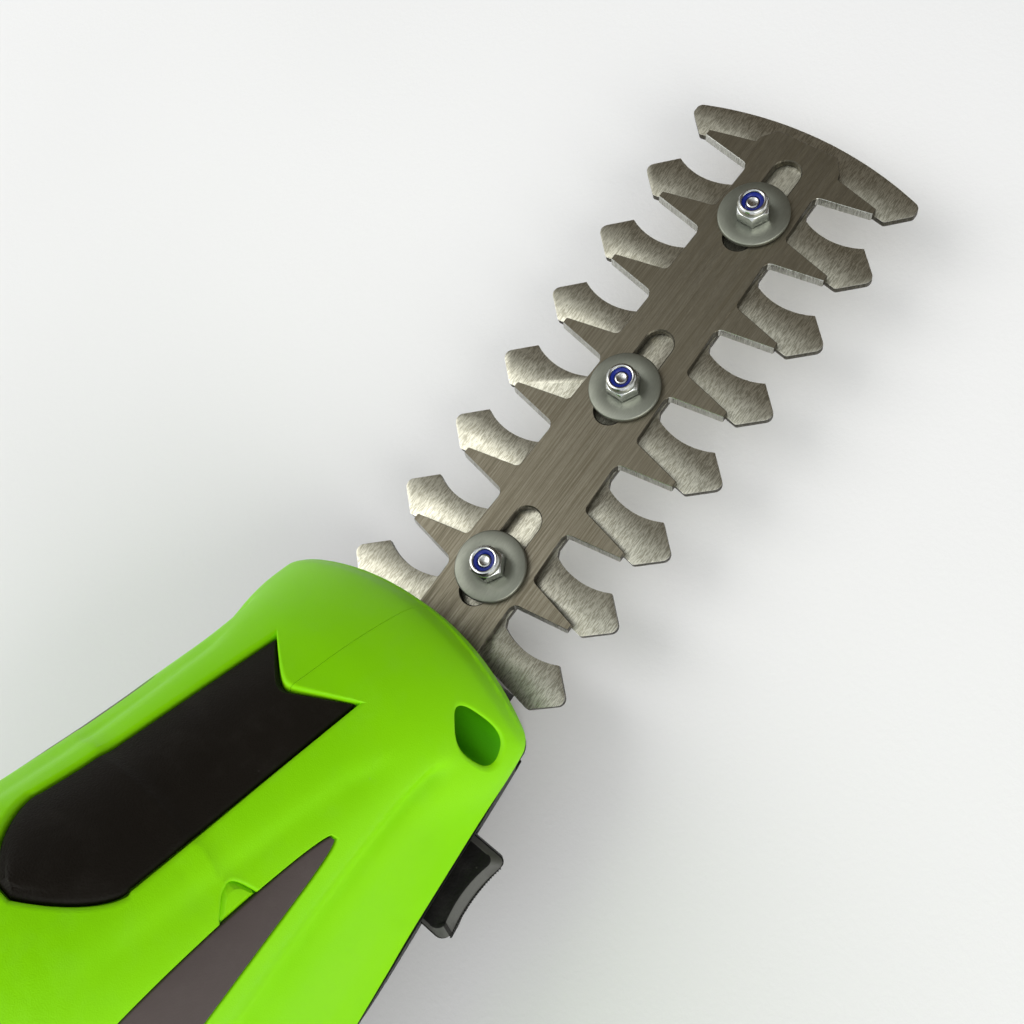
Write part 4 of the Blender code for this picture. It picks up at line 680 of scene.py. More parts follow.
class Bench:
    """Modelling steps that leave a piece with its place in its mesh."""

    turns = {Axis.Z: Matrix.Identity(3), Axis.Y: Matrix.Rotation(-math.pi / 2, 3, "X"),
             Axis.X: Matrix.Rotation(math.pi / 2, 3, "Y")}

    @staticmethod
    def pick(obj: Object) -> None:
        """Select one object alone and make it active.

        Args:
            obj: The object.
        """
        bpy.ops.object.select_all(action="DESELECT")
        obj.select_set(True)
        bpy.context.view_layer.objects.active = obj

    @classmethod
    def settle(cls, obj: Object, name: str) -> Object:
        """Name a new primitive and move its place into its mesh.

        Args:
            obj: The primitive.
            name: Its name.

        Returns:
            The object.
        """
        cls.pick(obj)
        bpy.ops.object.transform_apply(location=True, rotation=True, scale=True)
        obj.name = obj.data.name = name
        return obj

    @staticmethod
    def faces(name: str, points: Sequence[Sequence[float]], faces: Sequence[Sequence[int]]) -> Object:
        """Make an object from points and faces.

        Args:
            name: Its name.
            points: Its points.
            faces: Its faces, as places in the list of points.

        Returns:
            The object.
        """
        mesh = bpy.data.meshes.new(name)
        mesh.from_pydata([tuple(map(float, p)) for p in points], [], [tuple(map(int, f)) for f in faces])
        mesh.validate()
        obj = bpy.data.objects.new(name, mesh)
        bpy.context.scene.collection.objects.link(obj)
        return obj

    @classmethod
    def cylinder(cls, name: str, radius: float, low: float, high: float, place: Sequence[float],
                 axis: Axis = Axis.Z, sides: int = 48) -> Object:
        """Add a cylinder along an axis through a place.

        Args:
            name: Its name.
            radius: Its radius.
            low: Its lower end along the axis, from the place.
            high: Its upper end along the axis.
            place: A point of its axis.
            axis: The axis's direction.
            sides: Number of sides.

        Returns:
            The cylinder.
        """
        way = Vector([float(axis is other) for other in Axis])
        bpy.ops.mesh.primitive_cylinder_add(vertices=sides, radius=radius, depth=high - low,
                                            location=Vector(place) + way * (low + high) / 2,
                                            rotation=cls.turns[axis].to_euler())
        return cls.settle(bpy.context.object, name)

    @classmethod
    def block(cls, name: str, first: Sequence[float], last: Sequence[float], bevel: float = 0.0) -> Object:
        """Add a block between two opposite corners, with rounded edges.

        Args:
            name: Its name.
            first: One corner.
            last: The opposite corner.
            bevel: Radius of its edges.

        Returns:
            The block.
        """
        first, last = Vector(first), Vector(last)
        bpy.ops.mesh.primitive_cube_add(size=1, location=(first + last) / 2)
        bpy.context.object.scale = [abs(size) for size in last - first]
        obj = cls.settle(bpy.context.object, name)
        if bevel:
            cls.bevel(obj, bevel)
        return obj

    @classmethod
    def edit(cls, obj: Object) -> None:
        """Open an object in edit mode with everything selected.

        Args:
            obj: The object.
        """
        cls.pick(obj)
        bpy.ops.object.mode_set(mode="EDIT")
        bpy.ops.mesh.select_all(action="SELECT")

    @staticmethod
    def close() -> None:
        """Leave edit mode."""
        bpy.ops.object.mode_set(mode="OBJECT")

    @classmethod
    def turned(cls, name: str, profile: Outline, place: Sequence[float], sides: int = 48,
               ring: bool = False) -> Object:
        """Spin a profile of (radius, height) points, in millimetres, about an axis along Z.

        Args:
            name: The piece's name.
            profile: Its points.
            place: A point of the axis.
            sides: Number of steps.
            ring: Whether the profile closes on itself, as a ring's does.

        Returns:
            The piece.
        """
        points = [(r * MM, 0, h * MM) for r, h in profile]
        mesh = bpy.data.meshes.new(name)
        edges = [(i, (i + 1) % len(points)) for i in range(len(points) - (not ring))]
        mesh.from_pydata(points, edges, [])
        obj = bpy.data.objects.new(name, mesh)
        bpy.context.scene.collection.objects.link(obj)
        cls.edit(obj)
        bpy.ops.mesh.spin(steps=sides, angle=2 * math.pi, center=(0, 0, 0), axis=(0, 0, 1))
        bpy.ops.mesh.select_all(action="SELECT")
        bpy.ops.mesh.remove_doubles(threshold=2 * WELD)
        bpy.ops.mesh.normals_make_consistent(inside=False)
        cls.close()
        obj.data.transform(Matrix.Translation(place))
        return obj

    @classmethod
    def prism(cls, name: str, outline: Outline, low: float, high: float) -> Object:
        """Extrude a flat outline along Z.

        Args:
            name: The piece's name.
            outline: Its (x, y) points.
            low: Its lower end.
            high: Its upper end.

        Returns:
            The piece.
        """
        obj = cls.faces(name, [(x, y, low) for x, y in outline], [range(len(outline))])
        cls.edit(obj)
        bpy.ops.mesh.extrude_region_move(TRANSFORM_OT_translate={"value": (0, 0, high - low)})
        bpy.ops.mesh.select_all(action="SELECT")
        bpy.ops.mesh.normals_make_consistent(inside=False)
        cls.close()
        return obj

    @classmethod
    def split_caps(cls, obj: Object) -> None:
        """Split faces of more than four sides into triangles that keep their outline.

        Args:
            obj: The object.
        """
        cls.edit(obj)
        bpy.ops.mesh.select_mode(type="FACE")
        bpy.ops.mesh.select_all(action="DESELECT")
        bpy.ops.mesh.select_face_by_sides(number=4, type="GREATER", extend=False)
        bpy.ops.mesh.quads_convert_to_tris(ngon_method="CLIP")
        cls.close()

    @classmethod
    def modify(cls, obj: Object, kind: str, **settings: object) -> None:
        """Add a modifier with some settings and apply it.

        Args:
            obj: The object.
            kind: The modifier's type.
            settings: Its settings by name.
        """
        modifier = obj.modifiers.new(kind.lower(), kind)
        for name, value in settings.items():
            setattr(modifier, name, value)
        cls.pick(obj)
        bpy.ops.object.modifier_apply(modifier=modifier.name)

    @classmethod
    def bevel(cls, obj: Object, width: float, segments: int = 3, angle: float = 35.0) -> None:
        """Round the edges that are sharper than an angle."""
        cls.modify(obj, "BEVEL", width=width, segments=segments, limit_method="ANGLE",
                   angle_limit=math.radians(angle), use_clamp_overlap=True)

    @classmethod
    def combine(cls, target: Object, tools: Sequence[Object],
                operation: str = "DIFFERENCE", solver: str = "MANIFOLD") -> None:
        """Join, cut or keep the common part with some tools, which are then removed.

        Args:
            target: The piece that changes.
            tools: The tools.
            operation: UNION, DIFFERENCE or INTERSECT.
            solver: Blender's solver.
        """
        for tool in tools:
            before = len(target.data.vertices)
            cls.modify(target, "BOOLEAN", operation=operation, object=tool, solver=solver)
            if len(target.data.vertices) in (0, before):
                log.warning("%s isn't changed by %s with %s", target.name, operation, tool.name)
            bpy.data.objects.remove(tool)
        if not any(target.data.materials):
            target.data.materials.clear()

    @staticmethod
    def copy(obj: Object, name: str) -> Object:
        """Copy an object with its own mesh, under a new name.

        Args:
            obj: The object.
            name: The new name.

        Returns:
            The copy.
        """
        twin = obj.copy()
        twin.data = obj.data.copy()
        twin.name = twin.data.name = name
        bpy.context.scene.collection.objects.link(twin)
        return twin

    @classmethod
    def shade(cls, obj: Object, angle: float = 32.0) -> None:
        """Smooth the edges that are flatter than an angle."""
        cls.pick(obj)
        bpy.ops.object.shade_smooth_by_angle(angle=math.radians(angle))

    @classmethod
    def done(cls, obj: Object, material: Material, body: Body, slot: Slot,
             *nodes: str) -> Object:
        """Dress a finished piece, let it ride on its body and let it stand for its nodes.

        Args:
            obj: The piece.
            material: Its material, unless it has its own already.
            body: The body that it rides on.
            slot: The record's slot of its finish; not used.
            nodes: The nodes that it replaces.

        Returns:
            The piece.
        """
        if not obj.data.materials:
            obj.data.materials.append(material)
        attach(obj, body.value)
        if nodes:
            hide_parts(*nodes)
        log.info("%s: %d faces", obj.name, len(obj.data.polygons))
        return obj


def smooth(share: np.ndarray) -> np.ndarray:
    """Ease shares from 0 to 1 and hold them there."""
    share = np.clip(share, 0.0, 1.0)
    return share * share * (3 - 2 * share)


def soft_least(a: np.ndarray, b: np.ndarray, reach: float) -> np.ndarray:
    """Take the smaller of two distances, with a fillet where they are about the same."""
    share = np.clip(0.5 + 0.5 * (b - a) / reach, 0, 1)
    return b * (1 - share) + a * share - reach * share * (1 - share)


def soft_most(a: np.ndarray, b: np.ndarray, reach: float) -> np.ndarray:
    """Take the larger of two distances, with a rounded edge where they are about the same."""
    return -soft_least(-a, -b, reach)


def rounded(corners: Sequence[tuple[float, float, float]], steps: int = 8) -> Outline:
    """Replace each (x, y, radius) corner of a closed outline by a round one.

    Args:
        corners: The corners, in order.
        steps: Parts of each round corner.

    Returns:
        The outline's points.
    """
    outline = []
    for i, (x, y, radius) in enumerate(corners):
        if radius == 0:
            outline.append((x, y))
            continue
        here = Vector((x, y))
        back = (Vector(corners[i - 1][:2]) - here).normalized()
        ahead = (Vector(corners[(i + 1) % len(corners)][:2]) - here).normalized()
        angle = back.angle(ahead)
        start = here + back * radius / math.tan(angle / 2)
        middle = here + (back + ahead).normalized() * radius / math.sin(angle / 2)
        first = math.atan2(start.y - middle.y, start.x - middle.x)
        side = 1 if back.x * ahead.y - back.y * ahead.x < 0 else -1
        for k in range(steps + 1):
            a = first + side * (math.pi - angle) * k / steps
            outline.append((middle.x + radius * math.cos(a), middle.y + radius * math.sin(a)))
    return outline


def bowed_edge(start: tuple[float, float], end: tuple[float, float], depth: float,
               steps: int) -> Corners:
    """Points of an arc between two places that bows to the right of the way.

    Args:
        start: Where it starts.
        end: Where it ends.
        depth: How far it bows.
        steps: Number of its parts.

    Returns:
        The points between the ends, as corners without a radius.
    """
    first, last = Vector(start), Vector(end)
    chord = last - first
    right = Vector((chord.y, -chord.x)).normalized()
    radius = (chord.length / 2) ** 2 / (2 * depth) + depth / 2
    points = []
    for k in range(1, steps):
        along = (k / steps - 0.5) * chord.length
        lift = math.sqrt(radius**2 - along**2) - (radius - depth)
        point = first + chord * (k / steps) + right * lift
        points.append((point.x, point.y, 0.0))
    return points


# Form of the casing


@dataclass
class BodyForm:
    """The casing's outer form as one smooth surface, and places on it.

    Attributes:
        length: Length of the casing.
        split: Height where the shells meet the lower housing.
        deck_top: Height of the deck under the hand.
        bow: How far the nose's middle stands ahead of its sides.
        bow_length: Length over which the bow fades.
        squareness: Exponent of the handle's section.
        fillet: Reach of the fillet between hood and handle.
        skirt_round: Radius of the shells' lower edge.
        nose_round: Radius of the nose's edge.
        nose_ahead: How far the edge's rounding starts ahead of the nose.
        hollow_depth: Depth of the long hollow in the side.
        hollow_top: Where the hollow ends, in degrees over the side edge.
        hollow_start: Where the hollow starts.
        hollow_full: Where the hollow is at its full depth.
        hollow_fade: Where the hollow starts to fade.
        groove_depth: Depth of the groove behind the first well.
        groove_angle: Where it starts over the side edge, in degrees.
        groove_width: Its width, in degrees.
        dip_depth: Depth of the dip beside the pad.
        dip_angle: Where it starts over the side edge, in degrees.
        dip_width: Its width, in degrees.
        blend: Reach of the fillet between hood and deck.
        deck_round: Radius of the deck's upper edge.
        deck_start: Where the deck starts.
        end_round: Radius of the hood's rear edge.
    """

    length: float = 205 * MM
    split: float = 28 * MM
    deck_top: float = 33 * MM
    bow: float = 8 * MM
    bow_length: float = 50 * MM
    squareness: float = 0.85
    fillet: float = 7 * MM
    skirt_round: float = 0.45 * MM
    nose_round: float = 2.6 * MM
    nose_ahead: float = 0.45 * MM
    hollow_depth: float = 3.2 * MM
    hollow_top: float = 55.0
    hollow_start: float = 6 * MM
    hollow_full: float = 26 * MM
    hollow_fade: float = 70 * MM
    groove_depth: float = 1.7 * MM
    groove_angle: float = 34.0
    groove_width: float = 4.6
    dip_depth: float = 1.2 * MM
    dip_angle: float = 52.0
    dip_width: float = 5.0
    blend: float = 3 * MM
    deck_round: float = 7 * MM
    deck_start: float = 45 * MM
    end_round: float = 6 * MM

    def __post_init__(self) -> None:
        """Sample the tables of stations."""
        hood = [(0, 28.6, 35.4), (1.4, 28.8, 39), (5.6, 29.2, 44.4), (12.4, 29.7, 51.1), (18, 30.1, 55.6),
                (30, 30.9, 65), (45, 31.9, 76.4), (59, 33.2, 87), (68, 33.6, 91.5), (77, 33.2, 92.5),
                (85, 31, 87), (89.5, 27.5, 76), (91, 24, 66)]
        base = [(0, 28.6), (20, 30.2), (45, 31.9), (68, 33.6), (90, 33.4), (125, 31.6), (155, 29.4),
                (180, 26.6), (195, 22), (202, 16), (205, 8)]
        handle = [(54, 64, 15, 12), (72, 77.3, 18, 15), (94, 84, 17, 15.5), (120, 85, 16.5, 15.5),
                  (146, 81, 16.5, 15.5), (167, 72.5, 17, 15), (182, 59, 18, 13.5), (190.5, 43, 19, 12),
                  (192.5, 24, 20, 11.5)]
        self.hood_end = hood[-1][0] * MM
        self.nose_half = base[0][1] * MM
        self.hood_grid = np.linspace(0, self.hood_end, 400)
        self.hood_half = self.curve(hood, 1, self.hood_grid)
        self.hood_top = self.curve(hood, 2, self.hood_grid)
        self.base_grid = np.linspace(0, self.length, 800)
        self.base_half = self.curve(base, 1, self.base_grid)
        places = np.linspace(0, len(handle) - 1, 281)
        rows = np.array(handle, float)
        index = np.minimum(places.astype(int), len(rows) - 2)
        t = (places - index)[:, None]
        a, b, c, e = (rows[np.clip(index + k, 0, len(rows) - 1)] for k in (-1, 0, 1, 2))
        spot = 0.5 * (2 * b + (c - a) * t + (2 * a - 5 * b + 4 * c - e) * t**2
                      + (3 * b - a - 3 * c + e) * t**3) * MM
        slope = 0.5 * ((c - a) + 2 * (2 * a - 5 * b + 4 * c - e) * t + 3 * (3 * b - a - 3 * c + e) * t**2)
        self.handle_places = places
        self.centre = np.stack([NOSE_X - spot[:, 0], spot[:, 1]], 1)
        way = np.stack([-slope[:, 0], slope[:, 1]], 1)
        self.way = way / np.linalg.norm(way, axis=1)[:, None]
        self.out = np.stack([self.way[:, 1], -self.way[:, 0]], 1)
        self.width, self.height = spot[:, 2], spot[:, 3]
        self.spacing = np.gradient(np.concatenate([[0], np.cumsum(
            np.linalg.norm(np.diff(self.centre, axis=0), axis=1))]))

    @staticmethod
    def curve(table: Sequence[Sequence[float]], column: int, places: np.ndarray) -> np.ndarray:
        """Read one column of a table of stations by a smooth curve through its rows.

        Args:
            table: The stations, in millimetres.
            column: The column.
            places: Places along the table's first column, in metres.

        Returns:
            The column's values there.
        """
        x = np.array([row[0] for row in table]) * MM
        y = np.array([row[column] for row in table]) * MM
        wide_x = np.concatenate([[2 * x[0] - x[1]], x, [2 * x[-1] - x[-2]]])
        wide_y = np.concatenate([[2 * y[0] - y[1]], y, [2 * y[-1] - y[-2]]])
        slope = (wide_y[2:] - wide_y[:-2]) / (wide_x[2:] - wide_x[:-2])
        places = np.clip(places, x[0], x[-1])
        i = np.clip(np.searchsorted(x, places, side="right") - 1, 0, len(x) - 2)
        span = x[i + 1] - x[i]
        t = (places - x[i]) / span
        return ((2 * t**3 - 3 * t**2 + 1) * y[i] + (t**3 - 2 * t**2 + t) * span * slope[i]
                + (3 * t**2 - 2 * t**3) * y[i + 1] + (t**3 - t**2) * span * slope[i + 1])

    def bow_at(self, d: np.ndarray) -> np.ndarray:
        """How far the front bows forward at a distance behind the nose."""
        return self.bow * np.maximum(0.0, 1 - d / self.bow_length)

    def half_at(self, d: np.ndarray) -> np.ndarray:
        """The hood's half width at a distance behind the nose."""
        return np.interp(d, self.hood_grid, self.hood_half)

    def hollow(self, d: np.ndarray, angle: np.ndarray) -> np.ndarray:
        """Depth of the long hollow along the hood's side.

        Args:
            d: Distances behind the nose.
            angle: Angles round the hood, from its side edge.

        Returns:
            The depths.
        """
        degrees = np.degrees(angle)
        degrees = np.minimum(degrees, 180 - degrees)
        lift = np.clip(degrees / self.hollow_top, 0, 1)
        fade = smooth((d - self.hollow_start) / (self.hollow_full - self.hollow_start))
        leave = 1 - smooth((d - self.hollow_fade) / (self.hood_end - self.hollow_fade))
        depth = self.hollow_depth * fade * leave * np.sin(np.pi * lift**0.6)
        groove = (degrees - self.groove_angle + 6 * np.clip((d / MM - 15) / 45, 0, 1)) / self.groove_width
        depth = depth + self.groove_depth * np.exp(-groove**2) * smooth((d / MM - 11) / 7) * leave
        dip = (degrees - self.dip_angle - 0.25 * (d / MM - 18)) / self.dip_width
        ends = smooth((d / MM - 17) / 9) * (1 - smooth((d / MM - 56) / 16))
        return depth + self.dip_depth * np.exp(-dip**2) * ends

    def hood_points(self, d: np.ndarray, angle: np.ndarray, inset: float = 0.0) -> np.ndarray:
        """Places on the hood, or inset from it.

        Args:
            d: Distances behind the nose.
            angle: Angles from the left edge, over the top.
            inset: Distance inwards.

        Returns:
            The points.
        """
        half = self.half_at(d) - inset
        top = np.interp(d, self.hood_grid, self.hood_top) - 1.2 * inset
        y = half * np.cos(angle)
        y = np.sign(y) * np.maximum(np.abs(y) - self.hollow(d, angle), 0)
        z = self.split + np.maximum(top - self.split, 0.5 * MM) * np.sin(angle)
        return np.stack([NOSE_X - d - self.bow_at(d) * (y / self.nose_half) ** 2, y, z], -1)

    def handle_points(self, place: np.ndarray, angle: np.ndarray, inset: float = 0.0) -> np.ndarray:
        """Places on the handle's tube.

        Args:
            place: Places along it, counted in stations.
            angle: Angles round it; a quarter turn is its outer side.
            inset: Distance inwards.

        Returns:
            The points.
        """
        def read(values: np.ndarray) -> np.ndarray:
            """Interpolate one of the samples."""
            return np.interp(place, self.handle_places, values)

        c, s = np.cos(angle), np.sin(angle)
        side = (read(self.width) - inset) * np.sign(c) * np.abs(c) ** self.squareness
        rise = (read(self.height) - inset) * np.sign(s) * np.abs(s) ** self.squareness
        x = read(self.centre[:, 0]) + read(self.out[:, 0]) * rise
        z = read(self.centre[:, 1]) + read(self.out[:, 1]) * rise
        return np.stack([x, side, z], -1)

    def hood_field(self, x: np.ndarray, y: np.ndarray, z: np.ndarray) -> np.ndarray:
        """Rough distance to the hood.

        Args:
            x: Places along X.
            y: Places along Y.
            z: Heights.

        Returns:
            The distances.
        """
        q = (y / self.nose_half) ** 2
        back = NOSE_X - x
        d = (back - self.bow * q) / np.maximum(1 - self.bow * q / self.bow_length, 0.3)
        d = np.where(back > self.bow_length, back, d)
        inside = np.clip(d, 0, self.hood_end)
        half = self.half_at(inside)
        top = np.interp(inside, self.hood_grid, self.hood_top)
        v = np.maximum(z - self.split, 0) / np.maximum(top - self.split, 0.5 * MM)
        dent = self.hollow(inside, np.arctan2(v, np.abs(y) / half))
        dent = self.hollow(inside, np.arctan2(v, (np.abs(y) + dent) / half))
        u = (np.abs(y) + dent) / half
        reach = np.maximum(np.hypot(u, v), 0.05)
        rho = np.hypot(y, np.maximum(z - self.split, 0))
        distance = np.where(v > 0, rho * (1 - 1 / reach), np.abs(y) + dent - half)
        distance = np.maximum(distance, -30 * MM)
        front = soft_most(distance, -d - self.nose_ahead, self.nose_round)
        return soft_most(front, d - self.hood_end, self.end_round)

    def deck_field(self, x: np.ndarray, y: np.ndarray, z: np.ndarray) -> np.ndarray:
        """Rough distance to the low deck under the hand.

        Args:
            x: Places along X.
            y: Places along Y.
            z: Heights.

        Returns:
            The distances.
        """
        back = NOSE_X - x
        side = np.abs(y) - np.interp(back, self.base_grid, self.base_half)
        steep = np.interp(back, self.base_grid, np.gradient(self.base_half, self.base_grid))
        side = side / np.sqrt(1 + steep**2) + self.blend * (1 - smooth((back / MM - 52) / 22))
        ends = np.maximum(self.deck_start - back, back - self.length)
        return soft_most(soft_most(side, z - self.deck_top, self.deck_round), ends, 1.5 * MM)

    def handle_field(self, p: np.ndarray) -> np.ndarray:
        """Rough distance to the handle's tube.

        Args:
            p: The points.

        Returns:
            The distances.
        """
        result = np.full(len(p), 50 * MM)
        near = np.flatnonzero(p[:, 0] < NOSE_X - 30 * MM)
        last = len(self.centre) - 1
        for start in range(0, len(near), 20000):
            some = near[start:start + 20000]
            q = p[some][:, [0, 2]]
            coarse = self.centre[::5]
            far = (q[:, :1] - coarse[None, :, 0]) ** 2 + (q[:, 1:] - coarse[None, :, 1]) ** 2
            i = far.argmin(1) * 5
            for _ in range(2):
                along = ((q - self.centre[i]) * self.way[i]).sum(1)
                j = i + along / self.spacing[i]
                i = np.clip(np.rint(j).astype(int), 0, last)
            along = ((q - self.centre[i]) * self.way[i]).sum(1)
            j = i + along / self.spacing[i]
            k = np.clip(np.floor(j).astype(int), 0, last - 1)
            f = np.clip(j - k, 0, 1)[:, None]
            centre = self.centre[k] * (1 - f) + self.centre[k + 1] * f
            out = self.out[k] * (1 - f) + self.out[k + 1] * f
            width = self.width[k] * (1 - f[:, 0]) + self.width[k + 1] * f[:, 0]
            height = self.height[k] * (1 - f[:, 0]) + self.height[k + 1] * f[:, 0]
            rise = ((q - centre) * out).sum(1)
            y = p[some, 1]
            power = 2 / self.squareness
            reach = (np.abs(y / width) ** power + np.abs(rise / height) ** power) ** (1 / power)
            distance = np.hypot(y, rise) * (1 - 1 / np.maximum(reach, 0.05))
            distance = np.maximum(distance, -12 * MM)
            beyond = np.where(j <= 0, -along, np.where(j >= last, along, -1.0))
            result[some] = np.maximum(distance, beyond)
        return result

    def field(self, p: np.ndarray) -> np.ndarray:
        """Rough distance of points to the whole casing's surface.

        Args:
            p: The points.

        Returns:
            Distances, negative inside.
        """
        x, y, z = p[:, 0], p[:, 1], p[:, 2]
        body = soft_least(self.hood_field(x, y, z), self.deck_field(x, y, z), self.blend)
        top = soft_least(body, self.handle_field(p), self.fillet)
        rise = np.clip((z - self.split) / self.skirt_round, 0, 1)
        return top + self.skirt_round * (1 - np.sqrt(np.maximum(1 - (1 - rise) ** 2, 0)))

    def slope(self, p: np.ndarray, step: float = 0.12 * MM) -> np.ndarray:
        """Gradient of the field at some points.

        Args:
            p: The points.
            step: Distance of its samples.

        Returns:
            The gradients.
        """
        result = np.zeros_like(p)
        for way in ((1, -1, -1), (-1, -1, 1), (-1, 1, -1), (1, 1, 1)):
            way = np.array(way, float)
            result += self.field(p + way * step)[:, None] * way
        return result / (4 * step)

    def project(self, p: np.ndarray, level: np.ndarray | float = 0.0, steps: int = 3,
                flat: bool = False) -> np.ndarray:
        """Move points to a level of the field.

        Args:
            p: The points.
            level: The level, negative inside.
            steps: Number of steps.
            flat: Whether points keep their height.

        Returns:
            The moved points.
        """
        p = np.array(p, float)
        for _ in range(steps):
            slope = self.slope(p)
            if flat:
                slope[:, 2] = 0
            size = np.maximum((slope**2).sum(1), 0.04)
            move = -((self.field(p) - level) / size)[:, None] * slope
            length = np.linalg.norm(move, axis=1)[:, None]
            p += move * np.minimum(1, 1.5 * MM / np.maximum(length, 1e-9))
        return p

    def side_wall(self, x: np.ndarray, z: np.ndarray, level: np.ndarray | float, side: int) -> np.ndarray:
        """Find where lines along Y meet a level of the casing's side.

        Args:
            x: Their places along X.
            z: Their heights.
            level: The level.
            side: 1 for the left side, -1 for the right.

        Returns:
            The places along Y.
        """
        nearest, furthest, halvings = 2.0 * MM, 45.0 * MM, 18
        low, high = np.full(len(x), nearest), np.full(len(x), furthest)
        for _ in range(halvings):
            middle = (low + high) / 2
            outside = self.field(np.stack([x, side * middle, z], 1)) > level
            high = np.where(outside, middle, high)
            low = np.where(outside, low, middle)
        return side * (low + high) / 2

    def wall_at(self, x: float, z: float, side: int) -> float:
        """Find where one line along Y meets the casing's side."""
        return float(self.side_wall(np.array([x]), np.array([z]), 0.0, side)[0])


FORM = BodyForm()


class Loops:
    """Closed meshes from rings of points."""

    @staticmethod
    def tube(name: str, rings: Sequence[np.ndarray]) -> Object:
        """Join rings of as many points each, and close both ends.

        Args:
            name: The object's name.
            rings: The rings, in order.

        Returns:
            The object.
        """
        count = len(rings[0])
        points = np.concatenate(rings)
        faces = [tuple(range(count))[::-1]]
        for i in range(len(rings) - 1):
            a, b = i * count, (i + 1) * count
            faces += [(a + k, a + (k + 1) % count, b + (k + 1) % count, b + k) for k in range(count)]
        faces.append(tuple(range((len(rings) - 1) * count, len(rings) * count)))
        obj = Bench.faces(name, points, faces)
        Bench.edit(obj)
        bpy.ops.mesh.normals_make_consistent(inside=False)
        Bench.close()
        return obj

    @staticmethod
    def sheet(name: str, top: np.ndarray, rings: Sequence[np.ndarray],
              bottom: np.ndarray) -> Object:
        """Close a block from a grid on top, rings round its rim, and a grid below.

        Args:
            name: The object's name.
            top: Grid of points, rows by columns by 3.
            rings: Rings that go on from the top grid's border, outwards and down.
            bottom: Grid of points inside the last ring.

        Returns:
            The object.
        """
        rows, columns = top.shape[:2]
        border = [(0, j) for j in range(columns)] + [(i, columns - 1) for i in range(1, rows)]
        border += [(rows - 1, j) for j in range(columns - 2, -1, -1)]
        border += [(i, 0) for i in range(rows - 2, 0, -1)]
        count = len(border)
        points = [top.reshape(-1, 3)] + list(rings) + [bottom.reshape(-1, 3)]
        faces = []
        last = rows * columns + count * len(rings)
        for i in range(rows - 1):
            for j in range(columns - 1):
                a = i * columns + j
                faces.append((a, a + 1, a + columns + 1, a + columns))
                a += last
                faces.append((a, a + columns, a + columns + 1, a + 1))
        chains = [[i * columns + j for i, j in border]]
        for k in range(len(rings)):
            chains.append([rows * columns + k * count + m for m in range(count)])
        chains.append([last + i * columns + j for i, j in border])
        for upper, lower in zip(chains, chains[1:]):
            for m in range(count):
                n = (m + 1) % count
                faces.append((upper[n], upper[m], lower[m], lower[n]))
        obj = Bench.faces(name, np.concatenate(points), faces)
        Bench.edit(obj)
        bpy.ops.mesh.remove_doubles(threshold=WELD)
        bpy.ops.mesh.normals_make_consistent(inside=False)
        Bench.close()
        return obj


